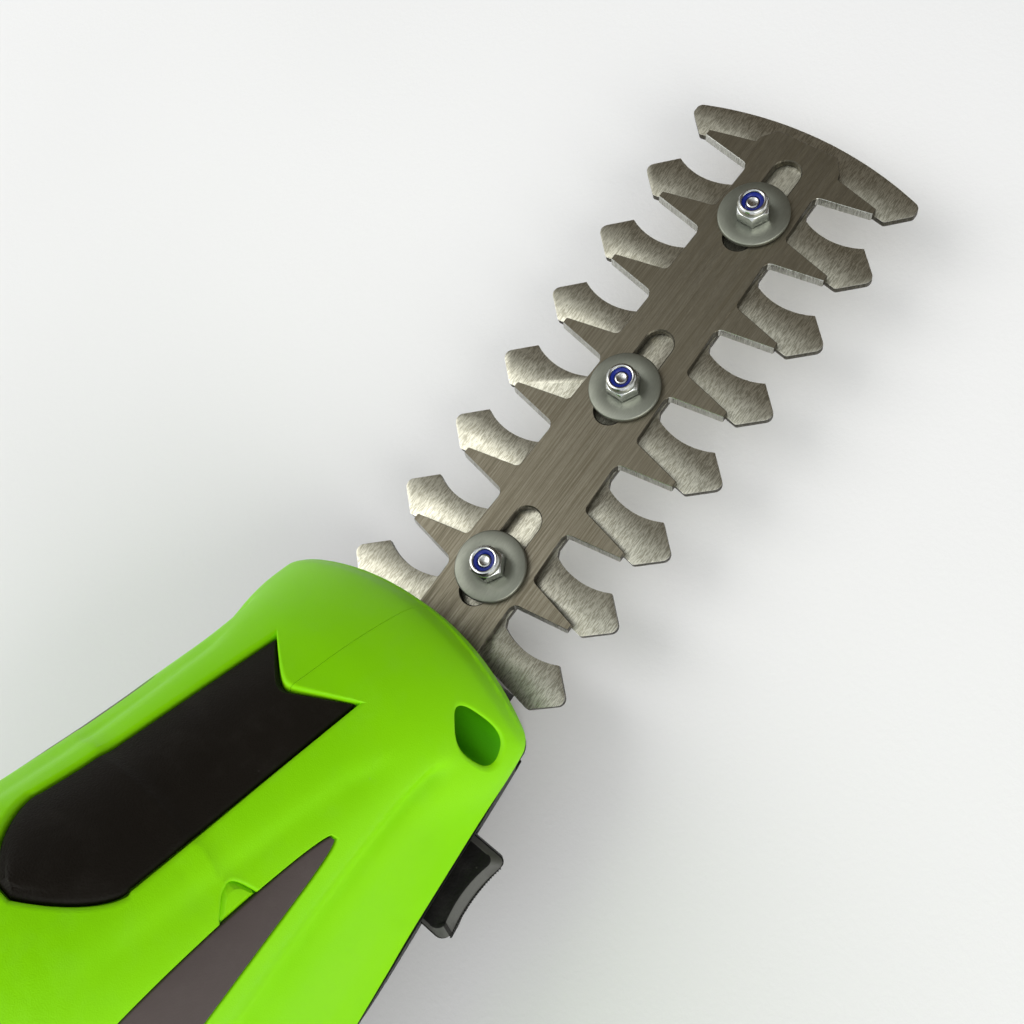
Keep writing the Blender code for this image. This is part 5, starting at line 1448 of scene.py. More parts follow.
@dataclass
class Inlay:
    """A piece that lies in a shallow recess of the casing, and the recess's cutter.

    Attributes:
        name: The piece's name.
        place: Gives surface points for shares along, across and a margin.
        depth: How deep its face lies for shares along.
        under: How deep its underside lies for shares along.
        gap: Gap between its rim and the recess's wall.
        rim: Radius of its rim.
        lip: Radius of the recess's edge.
        rows: Parts along.
        columns: Parts across.
        crown: How far its middle stands proud.
    """

    name: str
    place: PlaceRule
    depth: DepthRule
    under: DepthRule
    gap: float = 0.3 * MM
    rim: float = 0.5 * MM
    lip: float = 0.5 * MM
    rows: int = 90
    columns: int = 34
    crown: float = 0.0

    def shares(self) -> tuple[np.ndarray, np.ndarray]:
        """Shares along and across of the grid's points.

        Returns:
            The shares along, and the shares across.
        """
        along = np.linspace(0, 1, self.rows)
        across = np.linspace(0, 1, self.columns)
        return np.meshgrid(along, across, indexing="ij")

    def border(self, along: np.ndarray, across: np.ndarray) -> tuple[np.ndarray, np.ndarray]:
        """Shares along and across of the grid's border, in order.

        Args:
            along: Shares along of the grid.
            across: Shares across of the grid.

        Returns:
            The border's shares along, and its shares across.
        """
        def loop(values: np.ndarray) -> np.ndarray:
            """Walk round one grid."""
            return np.concatenate([values[0], values[1:, -1], values[-1, -2::-1], values[-2:0:-1, 0]])

        return loop(along), loop(across)

    def points(self, along: np.ndarray, across: np.ndarray, margin: float,
               inset: np.ndarray | float) -> np.ndarray:
        """Points at shares, moved to a depth under the casing's surface.

        Args:
            along: Shares along.
            across: Shares across.
            margin: Distance outwards from the outline.
            inset: Depth under the surface.

        Returns:
            The points, in the shape of the shares.
        """
        flat = self.place(along.ravel(), across.ravel(), margin)
        moved = FORM.project(flat, -np.broadcast_to(inset, along.shape).ravel(), 4)
        return moved.reshape(*along.shape, 3)

    def build(self) -> Object:
        """Build the piece, with its rounded rim.

        Returns:
            The piece.
        """
        along, across = self.shares()
        edge_along, edge_across = self.border(along, across)
        depth, edge_depth = self.depth(along), self.depth(edge_along)
        dome = self.crown * (1 - (2 * across - 1) ** 2)
        top = self.points(along, across, -self.rim, depth - dome)
        rings = []
        for k in range(1, 6):
            a = math.pi / 2 * k / 5
            drop = self.rim * (1 - math.cos(a))
            rings.append(self.points(edge_along, edge_across, -self.rim * (1 - math.sin(a)),
                                     edge_depth + drop))
        rings.append(self.points(edge_along, edge_across, 0.0, self.under(edge_along)))
        bottom = self.points(along, across, -self.rim, self.under(along))
        return Loops.sheet(self.name, top, rings, bottom)

    def recess(self) -> Object:
        """Build the cutter of the recess, which flares where it leaves the surface.

        Returns:
            The cutter.
        """
        along, across = self.shares()
        edge_along, edge_across = self.border(along, across)
        deep, edge_deep = self.under(along), self.under(edge_along)
        top = self.points(along, across, self.gap, -2.5 * MM)
        flare = [(self.gap + self.lip * 1.05, -2.5 * MM), (self.gap + self.lip * 1.05, -0.3 * MM)]
        for a in np.radians(np.linspace(12, 90, 6)):
            flare.append((self.gap + self.lip * (1 - math.sin(a)), self.lip * (1 - math.cos(a))))
        rings = [self.points(edge_along, edge_across, *step) for step in [*flare, (self.gap, edge_deep)]]
        bottom = self.points(along, across, self.gap - 0.4 * MM, deep)
        return Loops.sheet(self.name + "_cutter", top, rings, bottom)


# Sub-assemblies


@dataclass
class Casing:
    """Two green half shells, the soft inlays and the side plates.

    Attributes:
        finishes: The materials.
        wall: Thickness of the shells.
        voxel: Size of the first mesh's faces.
        part_gap: Half of the gap between the shells.
        screw_end: Where the holes of the shell screws end, on the left.
        slot_half: Half of the width of the trigger's slot.
        button_hole: Radius of the lock-off button's hole.
        well_radius: Radius of the screw wells.
        well_floor: Where the wells end, from the middle.
        well_lip: Radius of their edges.
        screw_places: Distances behind the nose and heights of the shell screws.
        boss_radius: Radius of the screw bosses.
        mouths: Middle and half sizes of the oblong mouths along X and Z, by their screw's number.
        dimple: Number of the screw place that shows only a dimple.
        dimple_depth: Its depth.
        pad_front: Where the middle of the pad's front edge lies.
        pad_notch: How far the front edge's corners stand ahead of its middle.
        notch_round: Roundness of the front edge's middle.
        pad_back: Where the pad's point ends.
        pad_half_front: Half of its width at the front.
        pad_half_back: Half of its width at the shoulders.
        pad_corner: Share of its length where the shoulders are.
        pad_bulge: Fullness of the point's sides.
        pad_blunt: Bluntness of the point.
        pad_depth: Depth of its face under the hood's surface, at the front and at the point.
        pad_under: Depth of its lower side, at the front and at the point.
        plate_front: Where the side plates start.
        plate_length: Their length.
        plate_angle: Where they lie over the side edge, in degrees.
        plate_rise: How far they widen upwards, in degrees.
        plate_fall: How far they widen downwards, in degrees.
        seam: Place of the shells' seam along Y.
        palm_span: First and last station, middle angle and half spread of the palm's inlay.
        finger_span: The same of the fingers' inlay.
    """

    finishes: Finishes
    wall: float = 2.4 * MM
    voxel: float = 1.0 * MM
    part_gap: float = 0.035 * MM
    screw_end: float = 9.4 * MM
    slot_half: float = 5.3 * MM
    button_hole: float = 4.3 * MM
    well_radius: float = 3.2 * MM
    well_floor: float = 10 * MM
    well_lip: float = 0.9 * MM
    screw_places: tuple[tuple[float, float], ...] = ((11.4, 39.7), (46.4, 67.5), (81.5, 45.5),
                                                     (134.0, 83.5), (187.5, 50.0))
    boss_radius: float = 4.3 * MM
    mouths: ClassVar[dict[int, tuple[float, ...]]] = {0: (0.0299, 0.0375, 0.0032, 0.0040),
                                                      1: (-0.0062, 0.0659, 0.0032, 0.0032)}
    dimple: int = 1
    dimple_depth: float = 1.7 * MM
    pad_front: float = 21.7 * MM
    pad_notch: float = 5.2 * MM
    notch_round: float = 0.16
    pad_back: float = 58.8 * MM
    pad_half_front: float = 9.3 * MM
    pad_half_back: float = 9.9 * MM
    pad_corner: float = 0.815
    pad_bulge: float = 0.7
    pad_blunt: float = 0.16
    pad_depth: tuple[float, float] = (0.85 * MM, 0.5 * MM)
    pad_under: tuple[float, float] = (4.4 * MM, 2.0 * MM)
    plate_front: float = 32.9 * MM
    plate_length: float = 42 * MM
    plate_angle: float = 46.4
    plate_rise: float = 9.0
    plate_fall: float = 10.7
    seam: float = -0.8 * MM
    palm_span: tuple[float, float, float, float] = (1.75, 5.6, 90.0, 52.0)
    finger_span: tuple[float, float, float, float] = (3.25, 5.4, 270.0, 50.0)

    def pad_place(self, along: np.ndarray, across: np.ndarray, margin: float) -> np.ndarray:
        """Places on the arrow-shaped pad's outline.

        Args:
            along: Shares along.
            across: Shares across.
            margin: Distance outwards.

        Returns:
            The points.
        """
        side = 2 * across - 1
        fold = np.sqrt(side**2 + self.notch_round**2) - self.notch_round
        front = self.pad_front - self.pad_notch * fold / (1 - self.notch_round) ** 0.5 - margin
        half = self.pad_half_front + (self.pad_half_back - self.pad_half_front) * np.minimum(
            along / self.pad_corner, 1)
        point = np.clip((along - self.pad_corner) / (1 - self.pad_corner), 0, 1)
        tail = (1 - point) * (1 + self.pad_bulge * point) + self.pad_blunt * np.sqrt(point)
        half = np.where(along > self.pad_corner, half * tail, half)
        d = front + (self.pad_back + margin - front) * along
        y = (half + margin) * side
        return FORM.hood_points(d, np.arccos(np.clip(y / FORM.half_at(d), -1, 1)))

    @staticmethod
    def level(front: float, back: float) -> DepthRule:
        """Give a depth that changes evenly along an inlay."""
        return lambda along: front + (back - front) * along

    def plate_place(self, side: int) -> PlaceRule:
        """Give the place function of one side's plate.

        Args:
            side: 1 for the left side, -1 for the right.

        Returns:
            The function.
        """
        def place(along: np.ndarray, across: np.ndarray, margin: float) -> np.ndarray:
            """Places on the tapered plate's outline.

            Args:
                along: Shares along.
                across: Shares across.
                margin: Distance outwards.

            Returns:
                The points.
            """
            d = self.plate_front - margin + (self.plate_length + 2 * margin) * along
            spread = np.sqrt(along + 0.006)
            edge = math.degrees(margin / (40 * MM))
            low = self.plate_angle - self.plate_fall * spread - edge
            high = self.plate_angle + self.plate_rise * spread + edge
            angle = np.radians(low + (high - low) * across)
            return FORM.hood_points(d, angle if side > 0 else np.pi - angle)

        return place

    def grip_place(self, span: tuple[float, float, float, float]) -> PlaceRule:
        """Give the place function of one of the handle's inlays.

        Args:
            span: First and last station, middle angle and half spread.

        Returns:
            The function.
        """
        def place(along: np.ndarray, across: np.ndarray, margin: float) -> np.ndarray:
            """Places on the inlay's outline.

            Args:
                along: Shares along.
                across: Shares across.
                margin: Distance outwards.

            Returns:
                The points.
            """
            start, end, middle, spread = span
            reach = margin / (24 * MM)
            place_along = start - reach + (end - start + 2 * reach) * along
            half = math.radians(spread) * (1 - 0.35 * (2 * along - 1) ** 4) + margin / (16 * MM)
            return FORM.handle_points(place_along, math.radians(middle) + half * (2 * across - 1))

        return place

    def inlays(self) -> dict[str, Inlay]:
        """Name the inlays and give each its sizes.

        Returns:
            The inlays by the name of the node that each stands for.
        """
        face, thin, thick = (self.level(depth, depth) for depth in (0.1 * MM, 0.9 * MM, 1.3 * MM))
        plate = {"rim": 0.3 * MM, "lip": 0.35 * MM, "gap": 0.22 * MM, "rows": 120, "columns": 16}
        grip = {"rim": 0.5 * MM, "lip": 0.4 * MM, "columns": 50}
        return {
            "front_pad": Inlay("arrow_pad", self.pad_place, self.level(*self.pad_depth),
                               self.level(*self.pad_under), rim=0.8 * MM, lip=0.75 * MM, rows=130,
                               columns=44, crown=0.35 * MM),
            "side_plate_right": Inlay("plate_right", self.plate_place(-1), face, thin, **plate),
            "side_plate_left": Inlay("plate_left", self.plate_place(1), face, thin, **plate),
            "palm_grip": Inlay("palm_rubber", self.grip_place(self.palm_span), face, thick, rows=170, **grip),
            "finger_grip": Inlay("finger_rubber", self.grip_place(self.finger_span), face, thick, rows=110,
                                 **grip)}

    def hood_rings(self, inset: float, low: float, count: int = 60) -> list[np.ndarray]:
        """Closed rings of the hood, nose first.

        Args:
            inset: Distance inwards.
            low: Height of their lower side.
            count: Number of rings.

        Returns:
            The rings.
        """
        angles = np.radians(np.linspace(0, 180, 49))
        rings = []
        for d in np.linspace(inset * 1.1, FORM.hood_end - inset, count):
            arch = FORM.hood_points(np.full(49, d), angles, inset)
            ends = arch[[-1, 0]].copy()
            ends[:, 2] = low
            rings.append(np.concatenate([arch, ends]))
        return rings

    def handle_rings(self, inset: float) -> list[np.ndarray]:
        """Rings of the handle's tube."""
        angles = np.linspace(0, 2 * math.pi, 40, endpoint=False)
        return [FORM.handle_points(np.full(40, place), angles, inset) for place in np.linspace(0, 8, 90)]

    def deck_rings(self, inset: float, low: float) -> list[np.ndarray]:
        """Rings of the low deck.

        Args:
            inset: Distance inwards.
            low: Height of their lower side.

        Returns:
            The rings.
        """
        rings = []
        for d in np.concatenate([np.linspace(45, 190, 40), np.linspace(192, 205 - inset / MM, 16)]) * MM:
            half = np.interp(d, FORM.base_grid, FORM.base_half) - inset
            x, top = NOSE_X - d, FORM.deck_top - inset
            rings.append(np.array([(x, half, low), (x, half, top), (x, -half, top), (x, -half, low)]))
        return rings

    def outer(self) -> Object:
        """Build the shells' outer form as one closed solid with its flat lower side.

        Returns:
            The solid.
        """
        low = FORM.split - 6 * MM
        parts = [Loops.tube("shell", self.hood_rings(0, low)), Loops.tube("handle", self.handle_rings(0)),
                 Loops.tube("deck", self.deck_rings(0, low))]
        Bench.pick(parts[0])
        for part in parts:
            part.select_set(True)
        bpy.ops.object.join()
        shell = bpy.context.object
        Bench.modify(shell, "REMESH", mode="VOXEL", voxel_size=self.voxel)
        for _ in range(2):
            places = self.read(shell)
            high = places[:, 2] > low + 1.5 * MM
            places[high] = FORM.project(places[high], 0.0, 2)
            self.move(shell, places)
            Bench.modify(shell, "SMOOTH", factor=0.5, iterations=2)
        Bench.edit(shell)
        for a in np.radians(range(0, 91, 18)):
            height = FORM.split + FORM.skirt_round * (1 - math.cos(a))
            bpy.ops.mesh.select_all(action="SELECT")
            bpy.ops.mesh.bisect(plane_co=(0, 0, height), plane_no=(0, 0, 1), clear_inner=a == 0,
                                use_fill=a == 0, threshold=WELD)
        Bench.close()
        self.press(shell, 0.0, FORM.skirt_round + 0.05 * MM)
        return shell

    @classmethod
    def press(cls, obj: Object, level: float, skirt: float) -> None:
        """Move a mesh's points to a level of the form.

        Args:
            obj: The object.
            level: The level.
            skirt: Points less than this above the lower edge keep their height.
        """
        places = cls.read(obj)
        flat = places[:, 2] < FORM.split + skirt
        places[~flat] = FORM.project(places[~flat], level, 4)
        places[flat] = FORM.project(places[flat], level, 4, flat=True)
        cls.move(obj, places)

    @staticmethod
    def values(items: bpy.types.bpy_prop_collection, name: str, kind: type = float) -> np.ndarray:
        """Read one property of all of a mesh's points, corners or faces.

        Args:
            items: The points, corners or faces.
            name: The property's name.
            kind: Type of its numbers.

        Returns:
            The numbers, three in a row for a property along X, Y and Z.
        """
        numbers = np.empty(len(items) * (3 if kind is float else 1), kind)
        items.foreach_get(name, numbers)
        return numbers.reshape(-1, 3) if kind is float else numbers

    @classmethod
    def read(cls, obj: Object) -> np.ndarray:
        """Read a mesh's points."""
        return cls.values(obj.data.vertices, "co")

    @staticmethod
    def move(obj: Object, places: np.ndarray) -> None:
        """Write a mesh's points."""
        obj.data.vertices.foreach_set("co", places.ravel())
        obj.data.update()

    def well(self, x: float, z: float, radius: float, floor: float, lip: float, side: int = -1,
             mouth: tuple[float, float, float, float] | None = None) -> Object:
        """Build the cutter of a well along Y with a rounded mouth.

        Args:
            x: Its place along X.
            z: Its height.
            radius: Its radius.
            floor: Where it ends, along Y.
            lip: Radius of its mouth's edge.
            side: The side that it opens on.
            mouth: Middle and half sizes of an oblong mouth, along X and Z.

        Returns:
            The cutter.
        """
        turn = np.linspace(0, 2 * np.pi, 64, endpoint=False)
        power = 2 / 2.7 if mouth else 1.0
        sway = np.sign(np.cos(turn)) * np.abs(np.cos(turn)) ** power
        rise = np.sign(np.sin(turn)) * np.abs(np.sin(turn)) ** power
        deep = (mouth[0], mouth[1], mouth[2] - 0.25 * MM, mouth[3] - 0.25 * MM) if mouth else None
        mouth, deep = mouth or (x, z, radius, radius), deep or (x, z, radius, radius)

        def ring(extra: float, level: float | None, y: float = 0.0) -> np.ndarray:
            """One ring of the mouth, on a level of the casing or at a place along Y.

            Args:
                extra: How much larger than the mouth it is.
                level: The casing's level, or None.
                y: The place along Y.

            Returns:
                The points.
            """
            xs, zs = mouth[0] + (mouth[2] + extra) * sway, mouth[1] + (mouth[3] + extra) * rise
            ys = np.full(64, y) if level is None else FORM.side_wall(xs, zs, level, side)
            return np.stack([xs, ys, zs], 1)

        rings = [np.stack([deep[0] + deep[2] * sway, np.full(64, floor), deep[1] + deep[3] * rise], 1)]
        for a in np.radians(np.linspace(90, 10, 7)):
            rings.append(ring(lip * (1 - math.sin(a)), -lip * (1 - math.cos(a))))
        rings.append(ring(lip * 1.02, 0.4 * MM))
        rings.append(ring(lip * 1.02, None, side * FAR))
        return Loops.tube("well", rings)

    def shell(self) -> Object:
        """Build both shells as one hollow solid with its recesses, wells and openings.

        Returns:
            The solid.
        """
        shell = self.outer()
        core = Bench.copy(shell, "core")
        self.press(core, -self.wall / 2, 0.5 * MM)
        deep = FORM.split - 10 * MM
        Bench.combine(shell, [Loops.tube("hood_inside", self.hood_rings(self.wall, deep, 40)),
                              Loops.tube("deck_inside", self.deck_rings(self.wall, deep)),
                              Loops.tube("handle_inside", self.handle_rings(self.wall))])
        bosses = [Bench.cylinder("boss", self.boss_radius, -FAR, FAR, at(d, 0, z), Axis.Y)
                  for d, z in self.screw_places]
        for x, z, across, tall in self.mouths.values():
            bosses.append(Bench.cylinder("mouth_boss", max(across, tall) + 1.9 * MM, -FAR, -8 * MM,
                                         (x, 0, z), Axis.Y))
        for spot in BASE_SCREWS:
            bosses.append(Bench.cylinder("boss", TOWER_RADIUS, FORM.split, FORM.split + FAR, at(*spot)))
        for boss in bosses:
            Bench.combine(boss, [Bench.copy(core, "core_copy")], "INTERSECT")
        bpy.data.objects.remove(core)
        inlays = self.inlays()
        pad = inlays["front_pad"]
        along, across = pad.shares()
        seat = Loops.sheet("pad_seat", pad.points(along, across, 2 * MM, 1.3 * MM), [],
                           pad.points(along, across, 2 * MM, pad.under(along) + 2 * MM))
        Bench.combine(shell, [seat, *bosses], "UNION")
        cuts = [inlay.recess() for inlay in inlays.values()]
        for i, (d, z) in enumerate(self.screw_places):
            mouth = self.mouths.get(i)
            floor = FORM.wall_at(*mouth[:2], -1) + self.dimple_depth if i == self.dimple else -self.well_floor
            here = at(d, 0, z)
            cuts.append(self.well(here.x, here.z, self.well_radius, floor, self.well_lip, mouth=mouth))
            if i != self.dimple:
                cuts.append(Bench.cylinder("screw_hole", SCREW_HOLE, -self.well_floor - MM, self.screw_end,
                                           here, Axis.Y, 24))
        cuts += self.openings()
        Bench.combine(shell, cuts)
        return shell

    def openings(self) -> list[Object]:
        """Build the cutters of the trigger's slot, the button's hole and the lens's hole.

        Returns:
            The cutters.
        """
        pin, button, lens = (sum(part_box(node), Vector()) / 2
                             for node in ("trigger_pin", "lock_off_button", "status_lens"))
        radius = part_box("status_lens")[1].x - lens.x + 0.3 * MM
        floor = FORM.wall_at(button.x, button.z, 1) / 2
        return [Bench.block("trigger_slot", (pin.x - 21.5 * MM, -self.slot_half, pin.z - 24 * MM),
                            (pin.x + 5 * MM, self.slot_half, pin.z + 7 * MM), 0.6 * MM),
                self.well(button.x, button.z, self.button_hole, floor, 0.5 * MM, 1),
                Bench.cylinder("lens_hole", radius, FORM.split, FORM.deck_top + 5 * MM, (lens.x, lens.y, 0))]

    def polish(self, obj: Object) -> None:
        """Give the outer surface the form's own normals, so that it reflects without facets.

        Args:
            obj: One half of the casing.
        """
        Bench.shade(obj, 35)
        mesh = obj.data
        places = self.read(obj)
        on = (np.abs(FORM.field(places)) < 0.03 * MM) & (places[:, 2] > FORM.split + 0.02 * MM)
        slope = np.zeros_like(places)
        slope[on] = FORM.slope(places[on])
        slope[on] /= np.linalg.norm(slope[on], axis=1)[:, None]
        corner = self.values(mesh.loops, "vertex_index", int)
        totals = self.values(mesh.polygons, "loop_total", int)
        face = np.repeat(self.values(mesh.polygons, "normal"), totals, axis=0)
        fits = on[corner] & ((face * slope[corner]).sum(1) > 0.9)
        mesh.normals_split_custom_set(np.where(fits[:, None], slope[corner], 0.0))

    def shade_wells(self, half: Object) -> None:
        """Paint the insides of the two oblong wells a darker green, as painted shade where the light doesn't
        reach.

        Args:
            half: One half of the casing.
        """
        half.data.materials.clear()
        for material in (self.finishes.green, self.finishes.deep):
            half.data.materials.append(material)
        half.data.polygons.foreach_set("material_index", [0] * len(half.data.polygons))
        for x, z, across, tall in self.mouths.values():
            wall = FORM.wall_at(x, z, -1)
            for face in half.data.polygons:
                middle = face.center
                inside = abs(middle.x - x) < across + 0.2 * MM and abs(middle.z - z) < tall + 0.2 * MM
                if inside and wall - 3 * MM < middle.y < -8 * MM:
                    # Faces more than 0.75 mm under the outer surface get the darker green of painted shade.
                    face.material_index = int(abs(FORM.field(np.array([middle]))[0]) > 0.75 * MM)

    def build(self) -> None:
        """Build and dress the shells and everything that lies in them."""
        shell = self.shell()
        for side, name, node in ((-1, "casing_right", "right_shell"), (1, "casing_left", "left_shell")):
            half = Bench.copy(shell, name)
            part = Bench.block("side", (-1, self.seam + side * self.part_gap, 0), (1, side * 80 * MM, 1))
            Bench.combine(half, [part], "INTERSECT")
            self.polish(half)
            self.shade_wells(half)
            Bench.done(half, self.finishes.green, Body.HOUSING, Slot.GREEN, node)
        bpy.data.objects.remove(shell)
        for node, inlay in self.inlays().items():
            piece = inlay.build()
            Bench.shade(piece, 40)
            plate = node.startswith("side_plate")
            Bench.done(piece, self.finishes.plate if plate else self.finishes.soft, Body.HOUSING,
                       Slot.PLATE if plate else Slot.SOFT, node)


@dataclass
class ReleaseButtons:
    """Two ribbed buttons in the housing's sides that free the blade.

    Attributes:
        finishes: The materials.
        front: Their front end along X.
        rear: Their rear end along X.
        reach: How far their faces stand out.
        dish: How far their faces curve in.
        low: Their lower side.
        top: Their upper side.
        draft: How much their faces lean in towards the bottom.
        rib_top: Where their ribs end.
        ribs: Number of ribs.
        rib_depth: Depth of the ribs.
        left_less: How much less the left button stands out.
        inner: Where their faces start, from the middle.
        flange_over: How far their inner flanges reach past them.
    """

    finishes: Finishes
    front: float = 15.7 * MM
    rear: float = -1.5 * MM
    reach: float = 36.5 * MM
    dish: float = 0.9 * MM
    low: float = 15.5 * MM
    top: float = 24.5 * MM
    draft: float = 0.24
    rib_top: float = 23.3 * MM
    ribs: int = 28
    rib_depth: float = 0.32 * MM
    left_less: float = 2.6 * MM
    inner: float = 26.5 * MM
    flange_over: float = 1.2 * MM

    def ring(self, side: int, inset: float, z: float, ribbed: bool) -> np.ndarray:
        """Outline of a button at a height.

        Args:
            side: 1 for the left button, -1 for the right.
            inset: How far it lies inside the widest outline.
            z: The height.
            ribbed: Whether its face has ribs here.

        Returns:
            The points.
        """
        front, rear, reach = self.front - 0.5 * inset, self.rear + 0.5 * inset, self.reach - inset
        corners = [(front, self.inner, 0.0), (front, reach, 1.1 * MM)]
        for k in range(1, 2 * self.ribs):
            share = k / (2 * self.ribs)
            y = reach - self.dish * (1 - (2 * share - 1) ** 2) - (self.rib_depth if ribbed and k % 2 else 0.0)
            corners.append((front - 1.2 * MM + (rear + 2.3 * MM - front) * share, y, 0.0))
        corners += [(rear, reach, 2.0 * MM), (rear, self.inner, 0.0)]
        return np.array([(x, side * y, z) for x, y in rounded(corners, 6)])

    def build(self) -> None:
        """Build and dress both buttons with their inner flanges."""
        for side, name, body in ((-1, "right", Body.RELEASE_RIGHT), (1, "left", Body.RELEASE_LEFT)):
            lean = self.draft * (self.rib_top - self.low)
            less = self.left_less if side > 0 else 0.0
            rings = [self.ring(side, less + lean + 0.4 * MM, self.low, True),
                     self.ring(side, less + lean, self.low + 0.4 * MM, True),
                     self.ring(side, less, self.rib_top, True),
                     self.ring(side, less + 0.42 * MM, self.rib_top + 0.03 * MM, False)]
            for share, inset in ((0.2, 0.55), (0.85, 1.75), (0.97, 2.0), (1.0, 2.25)):
                z = self.rib_top + (self.top - self.rib_top) * share
                rings.append(self.ring(side, less + inset * MM, z, False))
            button = Loops.tube("release_" + name, rings)
            Bench.split_caps(button)
            inner = max(abs(corner.y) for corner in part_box("release_spring_" + name))
            over = self.flange_over
            flange = Bench.block("flange", (self.rear - over, side * inner, self.low - over),
                                 (self.front + over, side * (inner + 2 * MM), self.top + over), 0.4 * MM)
            neck = Bench.block("neck", (self.rear + MM, side * (inner + MM), self.low + MM),
                               (self.front - MM, side * (self.inner + MM), self.top - MM))
            Bench.combine(button, [flange, neck], "UNION", "EXACT")
            # The sloped rims at the top of the faces get the paler black: painted highlight, with some wear.
            for material in (self.finishes.black, self.finishes.rim):
                button.data.materials.append(material)
            for face in button.data.polygons:
                sloped = 0.2 < face.normal.z < 0.97 and face.center.z > self.rib_top + 0.1 * MM
                face.material_index = int(sloped and abs(face.center.y) > 28 * MM)
            Bench.shade(button, 25)
            Bench.done(button, self.finishes.black, body, Slot.TUB, "release_button_" + name)


